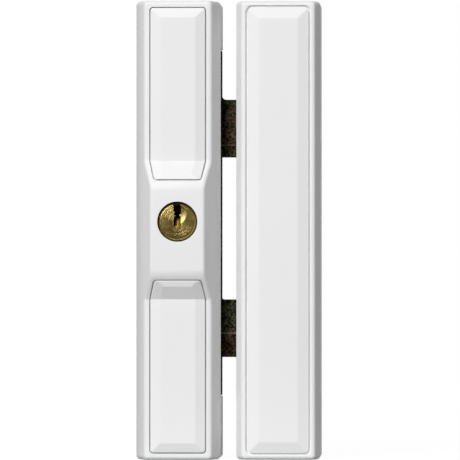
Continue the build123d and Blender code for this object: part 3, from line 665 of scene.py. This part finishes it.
def across_disc(count):
    """Heights across a disc from -1 to 1, closer together near the rim, where it turns away."""
    return np.sin(np.linspace(-math.pi / 2, math.pi / 2, count))


def slot_drive(x, z):
    """Depth share of a straight slot: 1 near the middle line, 0 past its half width."""
    return np.clip((slot_half - np.abs(z)) / slot_ramp, 0, 1)


def cross_drive(x, z):
    """Depth share of a cross recess: two tapered slots as far as their reach, deepest inside."""
    x, z = np.abs(x), np.abs(z)
    slots = [np.clip((cross_half - wide) / cross_ramp, 0, 1) * (long < cross_reach)
             for wide, long in ((z, x), (x, z))]
    return np.maximum(*slots) * np.clip(1.25 - np.hypot(x, z) / cross_fade, 0, 1)


def screw_head(axis, seat, top, radius, seat_radius, drive, drive_depth, dome):
    """Sections at even heights: up from the seat, across the dome less the drive, and down."""
    rows, columns = 44, 40
    out = 1.0 if top > seat else -1.0
    u, v = across_disc(rows)[:, None], across_disc(columns)[None, :]
    half = np.sqrt(np.clip(1 - u * u, 0, 1))
    x, z = radius * half * v, radius * np.broadcast_to(u, (rows, columns))
    roof = top - out * (dome * (np.hypot(x, z) / radius) ** 4 + drive_depth * drive(x, z))
    x = np.concatenate([-seat_radius * half, x, seat_radius * half], 1)
    z = np.concatenate([seat_radius * u, z, seat_radius * u], 1)
    depth = np.pad(roof, ((0, 0), (1, 1)), constant_values=seat)
    points = raised(np.stack([axis[0] + x, axis[1] + z], -1), depth)
    return points.reshape(-1, 3), grid_faces(rows, columns + 2, wrap_columns=True)


print("drive depth at the centre", float(cross_drive(0.0, 0.0)))

# %% Threaded shank, and all the screws
thread_depth, point_length, point_taper = 0.27 * MM, 0.8 * MM, 0.55 * MM


def screw_shank(axis, start, end, radius=1.4 * MM, pitch=0.7 * MM, around=20):
    """Radius: the crest less a wave of turns minus angle, and less a taper towards the point."""
    out, length = (1.0 if end > start else -1.0), abs(end - start)
    along = np.linspace(0, length, max(int(length / pitch * 8), 12))[:, None]
    angle = np.linspace(0, 2 * math.pi, around, endpoint=False)[None, :]
    wave = (0.5 + 0.5 * np.cos(2 * math.pi * along / pitch - angle)) ** 1.5
    point = point_taper * np.clip((along - length + point_length) / point_length, 0, 1)
    r = radius - thread_depth * wave - point
    plan = np.stack([axis[0] + r * np.cos(angle), axis[1] + r * np.sin(angle)], -1)
    return capped_tube(raised(plan, start + out * along))


def screw(low, high, head, drive, drive_depth, height, seat_radius, dome):
    """Head and shank between a solid's ends; head is 1 for a head at the front, -1 at the back."""
    axis = ((low[0] + high[0]) / 2, (low[2] + high[2]) / 2)
    top, end = (-low[1], -high[1])[::head]
    seat, radius = top - head * height, (high[0] - low[0]) / 2
    return join_parts([screw_head(axis, seat, top, radius, seat_radius or radius, drive,
                                  drive_depth, dome), screw_shank(axis, seat, end)])


slotted = slot_drive, 0.75 * MM, 1.5 * MM, None, 0.3 * MM
crossed = cross_drive, 1.2 * MM, 1.4 * MM, 1.4 * MM, 0.05 * MM
for node, head, kind in (("guide_screws", 1, slotted), ("retainer_screws", -1, slotted),
                         ("keeper_screws", 1, crossed), ("housing_screws", -1, crossed)):
    build_each(node, lambda low, high: screw(low, high, head, *kind))

# %% [markdown]
# The turning plug
# The plug is a brass bar with a warded keyway, open at its top. Its section is one closed line:
# round the outside from one lip of the keyway to the other, then down and up the keyway's walls.
# Each point of the outside is paired with the keyway's point at the same height, so the front face
# is the set of level lines between them.

# %% Section of the plug
keyway_right = np.array([(7.5, 1.2), (4.9, 1.2), (3.1, 1.35), (2.2, 0.7), (1.4, 1.1),
                         (-2.5, 1.1)]) * MM
keyway_left = np.array([(7.5, -1.5), (6.1, -1.5), (4.9, -1.2), (4.0, -1.4), (3.4, -0.7),
                        (2.7, -1.35), (2.1, -0.6), (1.6, -1.0), (-0.2, -1.4), (-1.4, -1.4),
                        (-1.6, -0.35), (-2.5, -0.2)]) * MM
keyway_floor = -2.5 * MM


def plug_side(wall, radius):
    """One side: the keyway's wall and the circle at the same heights, from the lip to the floor."""
    top = math.sqrt(radius ** 2 - wall[0, 1] ** 2)
    corners = wall[wall[:, 0] < 5.5 * MM, 0]
    heights = np.unique(np.concatenate([np.linspace(keyway_floor, top, 60), corners]))[::-1]
    inner = np.stack([np.interp(heights, wall[::-1, 0], wall[::-1, 1]), heights], -1)
    across = np.sign(wall[0, 1]) * np.sqrt(radius ** 2 - heights ** 2)
    return np.stack([across, heights], -1), inner


def plug_section(radius):
    """Outside points and keyway points in pairs: level at the sides, fanned out below the floor."""
    right_out, right_in = plug_side(keyway_right, radius)
    left_out, left_in = plug_side(keyway_left, radius)
    start, end = (math.atan2(keyway_floor, out[-1, 0]) for out in (right_out, left_out))
    floor_out = arc(0.0, 0.0, radius, np.linspace(start, end, 50)[1:-1])
    floor_in = np.linspace(right_in[-1], left_in[-1], 50)[1:-1]
    return (np.concatenate([right_out, floor_out, left_out[::-1]]),
            np.concatenate([right_in, floor_in, left_in[::-1]]))


barrel_radius, barrel_front, keyway_end = 6.0 * MM, 30.05 * MM, 15.1 * MM
print("plug section pairs", len(plug_section(barrel_radius)[0]))

# %% [markdown]
# From section to solid
# The section is carried along the plug's depth twice: outwards along the keyway's walls, then over
# the face and back along the outside. A turned face is never quite flat: this one falls a little to
# its chamfered rim, and a shallow scoop to the right of the keyway leads the key in.

# %% Face and rim
head_front, head_radius = -plug_low.y, plug_high.x
crown, keyway_bevel, bevel_share = 0.08 * MM, 0.12 * MM, 0.05
scoop_centre, scoop_radius, scoop_depth = np.array([-0.4, 2.6]) * MM, 3.6 * MM, 0.36 * MM
scoop_fade = 1.2 * MM
chamfer = ((0.85, 0.0), (0.8, 0.03), (0.74, 0.08), (0.12, 0.5), (0.08, 0.56), (0.064, 0.62))


def face_depth(plan):
    """Depth of the face: less a crown of radius squared, and less a round bowl on the right."""
    r = np.hypot(plan[..., 0], plan[..., 1]) / head_radius
    near = np.hypot(plan[..., 0] - scoop_centre[0], plan[..., 1] - scoop_centre[1]) / scoop_radius
    right = np.clip(plan[..., 0] / scoop_fade, 0, 1)
    bowl = soft_max(np.zeros_like(near), 1 - near ** 2, blend=0.02)
    return head_front - crown * r ** 2 - scoop_depth * right * bowl


def plug_rings():
    """Rings of (plan, depth): the keyway from its end, the face from keyway to rim, the outside."""
    levels = [(keyway_end, barrel_radius), (barrel_front, barrel_radius),
              (barrel_front, head_radius)]
    levels += [(head_front - down * MM, head_radius - narrower * MM) for down, narrower in chamfer]
    sections = [(depth, *plug_section(radius)) for depth, radius in levels]
    rings = [(inner, depth) for depth, _, inner in sections[:-1]]
    _, outer, inner = sections[-1]
    for share in np.linspace(0, 1, 40):
        plan = inner + share * (outer - inner)
        bevel = keyway_bevel * np.clip(1 - share / bevel_share, 0, 1)
        rings.append((plan, face_depth(plan) - bevel))
    return rings + [(outer, depth) for depth, outer, _ in sections[-2::-1]]


plug_points = stacked(plug_rings())
print("face from", round(float(face_depth(np.zeros(2))), 5), "rings", len(plug_points))

# %% [markdown]
# The tail
# Behind the keyway a turned end closes the plug. It steps down to the shaft that carries the
# pinion, with a groove near its tip for the clip.

# %% Turned tail, and the whole plug
tail = [[0.0, 15.4], [5.75, 15.4], [6.0, 15.15], [6.0, 13.55], [5.7, 13.3], [2.6, 13.3],
        [2.6, 12.0], [2.0, 12.0], [2.0, 9.4], [1.2, 9.4], [1.2, 8.8], [1.6, 8.8], [1.6, 8.65],
        [1.45, 8.5], [0.0, 8.5]]
tail_points, tail_faces = turned(np.array(tail) * [MM, -MM], count=72)
plug_parts = [(plug_points, grid_faces(*plug_points.shape[:2], wrap_rows=True)),
              (tail_points[:, [0, 2, 1]], tail_faces)]
build("cylinder_plug", [(points + [0, 0, plug_height], faces) for points, faces in plug_parts],
      30.0)

# %% [markdown]
# Finishes as node groups
# Five effects make up the finishes, and most come back in several: the skin of a moulding, hairline
# scratches, the rings that a lathe leaves, the mottle of plating, and worn edges. Each is a node
# group with its own inputs. A group only puts out masks and heights; the shader itself stays in the
# material. The helpers find the node tree from a socket that they are given.

# %% Helpers for node trees
def add(kind, values, tree=None, **settings):
    """The outputs of a new node; values maps its inputs to constants, or to what feeds them."""
    fed = {key: v for key, v in values.items() if isinstance(v, bpy.types.NodeSocket)}
    tree = tree or next(iter(fed.values())).id_data
    item = tree.nodes.new("ShaderNode" + kind)
    for key, value in settings.items():
        setattr(item, key, value)
    for key, value in values.items():
        if key in fed:
            tree.links.new(value, item.inputs[key])
        else:
            item.inputs[key].default_value = value
    return item.outputs


def noise(vector, scale, detail, **more):
    """Height of a noise texture, from 0 to 1."""
    return add("TexNoise", {"Vector": vector, "Scale": scale, "Detail": detail, **more})[0]


def ramp(value, low, high, to_low=0.0, to_high=1.0):
    """Value stretched from low..high to to_low..to_high, and clamped."""
    return add("MapRange", {"Value": value, "From Min": low, "From Max": high,
                            "To Min": to_low, "To Max": to_high})[0]


def calc(operation, first, second=0.0):
    """Two numbers joined by one operation."""
    return add("Math", {0: first, 1: second}, operation=operation)[0]


def times(first, second):
    """Two numbers multiplied."""
    return calc("MULTIPLY", first, second)


print("node helpers ready")

# %% How a group is made
def effect(name, numbers):
    """An empty node group that takes a vector and named numbers with their defaults."""
    group = bpy.data.node_groups.new(name, "ShaderNodeTree")
    group.interface.new_socket("Vector", in_out="INPUT", socket_type="NodeSocketVector")
    for label, default in numbers.items():
        socket = group.interface.new_socket(label, in_out="INPUT", socket_type="NodeSocketFloat")
        socket.default_value = default
    return group, group.nodes.new("NodeGroupInput").outputs


def put_out(group, **results):
    """Gives a group its named number outputs, each fed by a socket."""
    for label in results:
        group.interface.new_socket(label, in_out="OUTPUT", socket_type="NodeSocketFloat")
    sockets = group.nodes.new("NodeGroupOutput").inputs
    for label, value in results.items():
        group.links.new(value, sockets[label])
    print("group", group.name, "puts out", list(results))


# %% Moulded skin
skin, given = effect("Moulded skin", {"Grain": 1600.0, "Flow": 40.0})
put_out(skin, Grain=noise(given["Vector"], given["Grain"], 3.0, Roughness=0.6),
        Flow=noise(given["Vector"], given["Flow"], 1.0))

# %% Hairline scratches
hairline, given = effect("Hairline scratches", {"Along": 40.0, "Across": 2600.0, "Share": 0.3})
x, y, z = add("SeparateXYZ", {0: given["Vector"]})
drawn = add("CombineXYZ", {0: times(x, given["Along"]), 1: times(y, given["Along"]),
                           2: times(z, given["Across"])})[0]
brushed = noise(drawn, 1.0, 2.0, Distortion=0.15)
limit = calc("SUBTRACT", 0.78, times(given["Share"], 0.3))
put_out(hairline, Mask=ramp(brushed, limit, calc("ADD", limit, 0.05)), Brushed=brushed)

# %% Turned rings
turning, given = effect("Turned rings", {"Rings": 4000.0, "Wander": 0.5})
x, y, z = add("SeparateXYZ", {0: given["Vector"]})
flat = add("CombineXYZ", {0: x, 2: z})[0]
reach = add("VectorMath", {0: flat}, operation="LENGTH")["Value"]
drift = noise(given["Vector"], 220.0, 1.0)
phase = calc("ADD", times(reach, given["Rings"]), times(drift, given["Wander"]))
ring = add("TexNoise", {"W": phase, "Scale": 1.0, "Detail": 2.0}, noise_dimensions="1D")[0]
around = add("CombineXYZ", {0: times(calc("ARCTAN2", z, x), 1.6), 1: times(reach, 2600.0)})[0]
put_out(turning, Rings=ring, Arcs=ramp(noise(around, 1.0, 2.0), 0.6, 0.68))

# %% Mottled plating
mottle, given = effect("Mottled plating", {"Patches": 180.0, "Specks": 1400.0})
patches = noise(given["Vector"], given["Patches"], 4.0, Roughness=0.55, Distortion=0.6)
specks = noise(given["Vector"], given["Specks"], 3.0)
put_out(mottle, Patches=ramp(patches, 0.36, 0.64), Specks=ramp(specks, 0.4, 0.7))

# %% Worn edges
worn, given = effect("Worn edges", {"From": 0.53})
pointed = add("NewGeometry", {}, worn)["Pointiness"]
uneven = calc("SUBTRACT", noise(given["Vector"], 900.0, 2.0), 0.5)
ridge = calc("ADD", pointed, times(uneven, 0.08))
put_out(worn, Mask=ramp(ridge, given["From"], calc("ADD", given["From"], 0.05)))

# %% [markdown]
# Eight finishes
# White and grey mouldings are dielectric with a satin skin. The metals differ in base colour and in
# what has happened to them: zinc with fine spangle, a brown and olive passivation on the bolt,
# plain spring wire, turned brass, and bronze pins. The eighth finish is the same brass, darkened
# as painted shade in the keyway and in the gap round the plug. Colour varies only a little within
# each finish; what the eye reads is how the light breaks on it.

# %% A material with its shader
def finish(name, metallic, roughness, centre=(0.0, 0.0, 0.0)):
    """A material, its shader, and object coordinates moved so that the centre is at zero."""
    material = bpy.data.materials.new(name)
    material.use_nodes = True
    shader = material.node_tree.nodes["Principled BSDF"]
    shader.inputs["Metallic"].default_value = metallic
    shader.inputs["Roughness"].default_value = roughness
    spot = add("TexCoord", {}, material.node_tree)["Object"]
    return material, shader, add("Mapping", {"Vector": spot, "Location": [-c for c in centre]})[0]


def use(group, vector, **values):
    """The outputs of a placed group, with the vector plugged in and its values set."""
    return add("Group", {"Vector": vector, **values}, node_tree=group)


def blend(mask, first, second):
    """Two colours mixed by a mask; each is a colour or an output."""
    first, second = (colour if isinstance(colour, bpy.types.NodeSocket) else (*colour, 1)
                     for colour in (first, second))
    return add("Mix", {0: mask, 6: first, 7: second}, data_type="RGBA")[2]


def dress(shader, colour, layers, rough, relief):
    """Feeds a shader: a colour under (mask, share, tint) layers, a roughness ramp, and a bump."""
    for mask, share, tint in layers:
        colour = blend(times(mask, share), colour, tint)
    height, distance, strength = relief
    surface = add("Bump", {"Height": height, "Distance": distance, "Strength": strength})[0]
    for label, value in (("Base Color", colour), ("Roughness", ramp(*rough)), ("Normal", surface)):
        shader.id_data.links.new(value, shader.inputs[label])


print("finish helpers ready")

# %% White and grey mouldings
white, shader, vector = finish("White moulded plastic", 0.0, 0.4)
shader.inputs["Specular IOR Level"].default_value = 0.35
surface = use(skin, vector, Grain=1500.0, Flow=38.0)
dress(shader, blend(surface["Flow"], (0.852, 0.852, 0.856), (0.868, 0.868, 0.866)), [],
      (surface["Grain"], 0.3, 0.7, 0.42, 0.54), (surface["Grain"], 0.000012, 0.5))

grey, shader, vector = finish("Grey moulded plastic", 0.0, 0.5)
surface = use(skin, vector, Grain=1300.0, Flow=60.0)
dress(shader, blend(surface["Flow"], (0.085, 0.087, 0.09), (0.13, 0.132, 0.135)), [],
      (surface["Grain"], 0.3, 0.7, 0.42, 0.6), (surface["Grain"], 0.00003, 0.8))
print("mouldings", white.name, grey.name)

# %% [markdown]
# The bolt's steel
# Passivation leaves brown and olive bands across the plate, in patches and with dark specks. Where
# a tongue slides on the edge of its notch a thin bright line is rubbed along it.

# %% Dark passivated steel of the bolt
bolt, shader, vector = finish("Dark passivated steel", 1.0, 0.36, (0.0215, 0.0, 0.0))
film = use(mottle, vector, Patches=200.0, Specks=1650.0)
lines = use(hairline, vector, Along=45.0, Across=2400.0, Share=0.3)
height = add("SeparateXYZ", {0: vector})[2]
bands = add("ValToRGB", {"Fac": ramp(height, -0.046, 0.048)})[0]
elements = bands.node.color_ramp.elements
brown, olive = (0.12, 0.078, 0.046, 1), (0.1, 0.112, 0.055, 1)
for i, (at, tint) in enumerate(((0.0, brown), (0.085, brown), (0.14, olive), (0.25, olive),
                                (0.5, brown), (0.77, olive), (0.83, brown), (0.93, brown),
                                (0.97, olive))):
    stop = elements[i] if i < 2 else elements.new(at)
    stop.position, stop.color = at, tint

wobble = times(noise(vector, 110.0, 1.0), 0.0008)
rubs = []
for at, share in ((-0.0368, 0.5), (0.0314, 0.25)):
    off = calc("ABSOLUTE", calc("ADD", calc("SUBTRACT", height, at), wobble))
    rubs.append((ramp(off, 0.0001, 0.00035, 1.0, 0.0), share, (0.32, 0.3, 0.26)))
dress(shader, bands,
      [(film["Patches"], 0.5, (0.03, 0.022, 0.012)),
       (ramp(film["Specks"], 0.05, 0.75, 1.0, 0.0), 1.0, (0.009, 0.007, 0.005)),
       *rubs, (lines["Mask"], 0.2, (0.12, 0.1, 0.07))],
      (film["Specks"], 0.0, 1.0, 0.3, 0.46), (film["Specks"], 0.00006, 1.0))
print("bolt finish", bolt.name, "with", len(elements), "bands")

# %% Bright zinc and spring steel
zinc, shader, vector = finish("Bright zinc plate", 1.0, 0.32)
film = use(mottle, vector, Patches=160.0, Specks=900.0)
lines = use(hairline, vector, Along=60.0, Across=1900.0, Share=0.25)
edges = use(worn, vector, From=0.55)
dress(shader, blend(film["Patches"], (0.56, 0.57, 0.585), (0.66, 0.655, 0.63)),
      [(film["Specks"], 0.25, (0.5, 0.52, 0.56)), (lines["Mask"], 0.4, (0.78, 0.78, 0.76)),
       (edges["Mask"], 0.4, (0.74, 0.73, 0.7))],
      (film["Patches"], 0.0, 1.0, 0.26, 0.4), (film["Specks"], 0.000008, 0.5))

wire_steel, shader, vector = finish("Spring steel", 1.0, 0.26)
film = use(mottle, vector, Patches=300.0, Specks=1800.0)
lines = use(hairline, vector, Along=300.0, Across=3000.0, Share=0.3)
dress(shader, blend(film["Patches"], (0.33, 0.335, 0.35), (0.45, 0.44, 0.42)),
      [(lines["Mask"], 0.5, (0.6, 0.6, 0.58))],
      (film["Specks"], 0.0, 1.0, 0.2, 0.34), (lines["Brushed"], 0.000006, 0.5))
print("steels", zinc.name, wire_steel.name)

# %% [markdown]
# Brass and bronze
# A lathe leaves fine rings round the plug's axis, so its mapping is centred there: rings in the
# relief spread each highlight into a fan, and here and there an arc is brighter.

# %% Turned brass
plug_centre = (0.0, 0.0, plug_height)
brass, shader, vector = finish("Turned brass", 1.0, 0.22, plug_centre)
cut = use(turning, vector, Rings=8000.0, Wander=0.1)
film = use(mottle, vector, Patches=420.0, Specks=2600.0)
edges = use(worn, vector, From=0.56)
dress(shader, blend(film["Patches"], (0.46, 0.34, 0.1), (0.56, 0.43, 0.14)),
      [(film["Specks"], 0.3, (0.42, 0.29, 0.1)), (cut["Arcs"], 0.55, (0.88, 0.72, 0.34)),
       (ramp(cut["Rings"], 0.5, 0.32), 1.0, (0.3, 0.22, 0.075)),
       (edges["Mask"], 0.5, (0.92, 0.76, 0.38))],
      (film["Patches"], 0.0, 1.0, 0.22, 0.28), (cut["Rings"], 0.000023, 1.0))
print("brass", brass.name)

# %% Bronze pins, and brass darkened as painted shade
bronze, shader, vector = finish("Bronze of the pins", 0.6, 0.5)
film = use(mottle, vector, Patches=500.0, Specks=2600.0)
dress(shader, blend(film["Patches"], (1.0, 0.46, 0.08), (1.0, 0.66, 0.16)), [],
      (film["Specks"], 0.0, 1.0, 0.45, 0.6), (film["Specks"], 0.000008, 0.5))

# Painted shade: a near-black brass for the keyway's inside and the body's face behind the gap round
# the plug, where shade falls.
painted_recess_shade, shader, vector = finish("Brass darkened as painted shade in recesses", 1.0, 0.45, plug_centre)
film = use(mottle, vector, Patches=500.0, Specks=2200.0)
dress(shader, blend(film["Patches"], (0.05, 0.033, 0.012), (0.11, 0.07, 0.022)), [],
      (film["Specks"], 0.0, 1.0, 0.35, 0.6), (film["Specks"], 0.00001, 0.5))
print("small parts", bronze.name, painted_recess_shade.name)

# %% Every piece gets its finish
looks = {"white_plastic": white, "grey_plastic": grey, "bolt_steel": bolt, "zinc_steel": zinc,
         "spring_steel": wire_steel, "brass": brass}
for name, node in nodes.items():
    for item in (node, finished[name]):
        item.data.materials.clear()
        item.data.materials.append(looks[slot_of_node[name]])


def paint_recess_shade(node, chosen):
    """Dark brass as painted shade on the chosen faces; chosen is a function of their centres."""
    mesh = finished[node].data
    mesh.materials.append(painted_recess_shade)
    mask = chosen(*read(mesh.polygons, "center", 3).T)
    mesh.polygons.foreach_set("material_index", mask.astype(np.int32))
    print(node, "faces with", painted_recess_shade.name, int(mask.sum()))


finished["key_pins"].data.materials[0] = bronze
# Painted shade: the plug's keyway walls and the body's front face behind the ring gap get the dark
# brass.
paint_recess_shade("cylinder_plug", lambda x, y, z: (y > -0.0312) & (np.hypot(x, z - plug_height) < 0.0059))
paint_recess_shade("cylinder_body", lambda x, y, z: y < -0.0298)
print("finished pieces", len(finished), "of", len(nodes))

# %% [markdown]
# Light
# A big soft lamp high on the left is the key light, and a wide weak one on the right fills the
# shadows. White plastic in this light shows about nine tenths of full white, so no facet clips.

# %% Two lamps
middle = Vector(((cad_box[0][0] + cad_box[1][0]) / 2, -0.013, 0.0))
lamp_distance = 4.5


def aimed(name, data, target, toward, distance):
    """A lamp or camera at a distance from a target, in the direction toward, facing the target."""
    item = bpy.data.objects.new(name, data)
    bpy.context.scene.collection.objects.link(item)
    item.location = target + toward * distance
    item.rotation_euler = (-toward).to_track_quat("-Z", "Y").to_euler()
    print(name, "at", [round(v, 3) for v in item.location])
    return item


def lamp(name, direction, size, watts):
    """A round area lamp that faces the lock from a direction."""
    data = bpy.data.lights.new(name, "AREA")
    data.shape, data.size, data.energy = "DISK", size, watts
    aimed(name, data, middle, Vector(direction).normalized(), lamp_distance)


lamp("key_lamp", (-0.44, -1.0, 0.55), 2.8, 210.0)
lamp("fill_lamp", (1.15, -0.9, 0.35), 3.0, 41.0)

# %% [markdown]
# The room round the lock
# What metal mirrors makes its look. Behind the lock the room is as white as the background; in
# front of it, where a studio is dark, it is nearly black, and it brightens again towards the floor.
# The camera gets the white background, and all other light from the room is faint and even.

# %% World
def bare_tree(owner):
    """The emptied node tree of a world or a material, and what tells the kinds of ray apart."""
    owner.use_nodes = True
    owner.node_tree.nodes.clear()
    return owner.node_tree, add("LightPath", {}, owner.node_tree)


world = bpy.data.worlds.new("studio")
bpy.context.scene.world = world
tree, rays = bare_tree(world)
mirrored_way = add("SeparateXYZ", {0: add("TexCoord", {}, tree)["Generated"]})
behind = ramp(mirrored_way["Y"], -0.6, 0.35, 0.055, 1.0)
below = ramp(mirrored_way["Z"], -0.4, -0.8, 0.0, 0.6)
even = add("Background", {"Color": (1, 1, 1, 1), "Strength": 0.03}, tree)[0]
mirrored = add("Background", {"Color": calc("MAXIMUM", behind, below)})[0]
backdrop = add("Background", {"Color": (1, 1, 1, 1)}, tree)[0]
lit = add("MixShader", {0: rays["Is Glossy Ray"], 1: even, 2: mirrored})[0]
straight = calc("MAXIMUM", rays["Is Camera Ray"], rays["Is Transmission Ray"])
seen = add("MixShader", {0: straight, 1: lit, 2: backdrop})[0]
add("OutputWorld", {"Surface": seen})
print("world", world.name, "with", len(tree.nodes), "nodes")

# %% [markdown]
# Floor
# The lock stands on a pale floor. To the camera, and in metal, the floor is as white as the
# background, except that a little of its own shading stays, and with it the lock's soft shadow.

# %% Pale floor
def floor_points(x_reach=(-0.45, 0.5), y_reach=(-0.07, 0.5), height=-0.08262, count=12):
    """A level sheet: x and y in even steps, z the same everywhere."""
    x, y = np.meshgrid(np.linspace(*x_reach, count), np.linspace(*y_reach, count), indexing="ij")
    return np.stack([x, y, np.full_like(x, height)], -1)


floor_mesh = mesh_from("floor", *join_parts([(floor_points(), grid_faces(12, 12))]))
floor = bpy.data.objects.new("floor", floor_mesh)
bpy.context.scene.collection.objects.link(floor)
floor_paint = bpy.data.materials.new("Pale floor")
tree, rays = bare_tree(floor_paint)
matt = add("BsdfDiffuse", {"Color": (0.22, 0.22, 0.22, 1)}, tree)[0]
faint = add("BsdfDiffuse", {"Color": (0.045, 0.045, 0.045, 1)}, tree)[0]
glow = add("Emission", {"Color": (1, 1, 1, 1), "Strength": 0.98}, tree)[0]
direct = calc("MAXIMUM", rays["Is Camera Ray"],
              calc("MAXIMUM", rays["Is Glossy Ray"], rays["Is Transmission Ray"]))
paint = add("MixShader", {0: direct, 1: matt, 2: add("AddShader", {0: faint, 1: glow})[0]})[0]
add("OutputMaterial", {"Surface": paint})
floor.data.materials.append(floor_paint)
print("floor of", len(floor_mesh.polygons), "faces")

# %% [markdown]
# Camera
# The lens is long and the camera stands back, as the photograph's edges run almost parallel. It
# looks from 1.4 degrees to the right of straight ahead, and a little from below.

# %% Camera
camera_data = bpy.data.cameras.new("camera")
camera_data.type = "PERSP"
camera_data.lens = 400.0
camera_data.clip_end = 10.0
target, distance = Vector((0.01843, -0.0135, 0.0002)), 1.848
azimuth, elevation = math.radians(1.4), math.radians(-0.6)
toward = Vector((math.sin(azimuth) * math.cos(elevation), -math.cos(azimuth) * math.cos(elevation),
                 math.sin(elevation)))
bpy.context.scene.camera = aimed("camera", camera_data, target, toward, distance)
bpy.context.scene.view_settings.view_transform = "Standard"
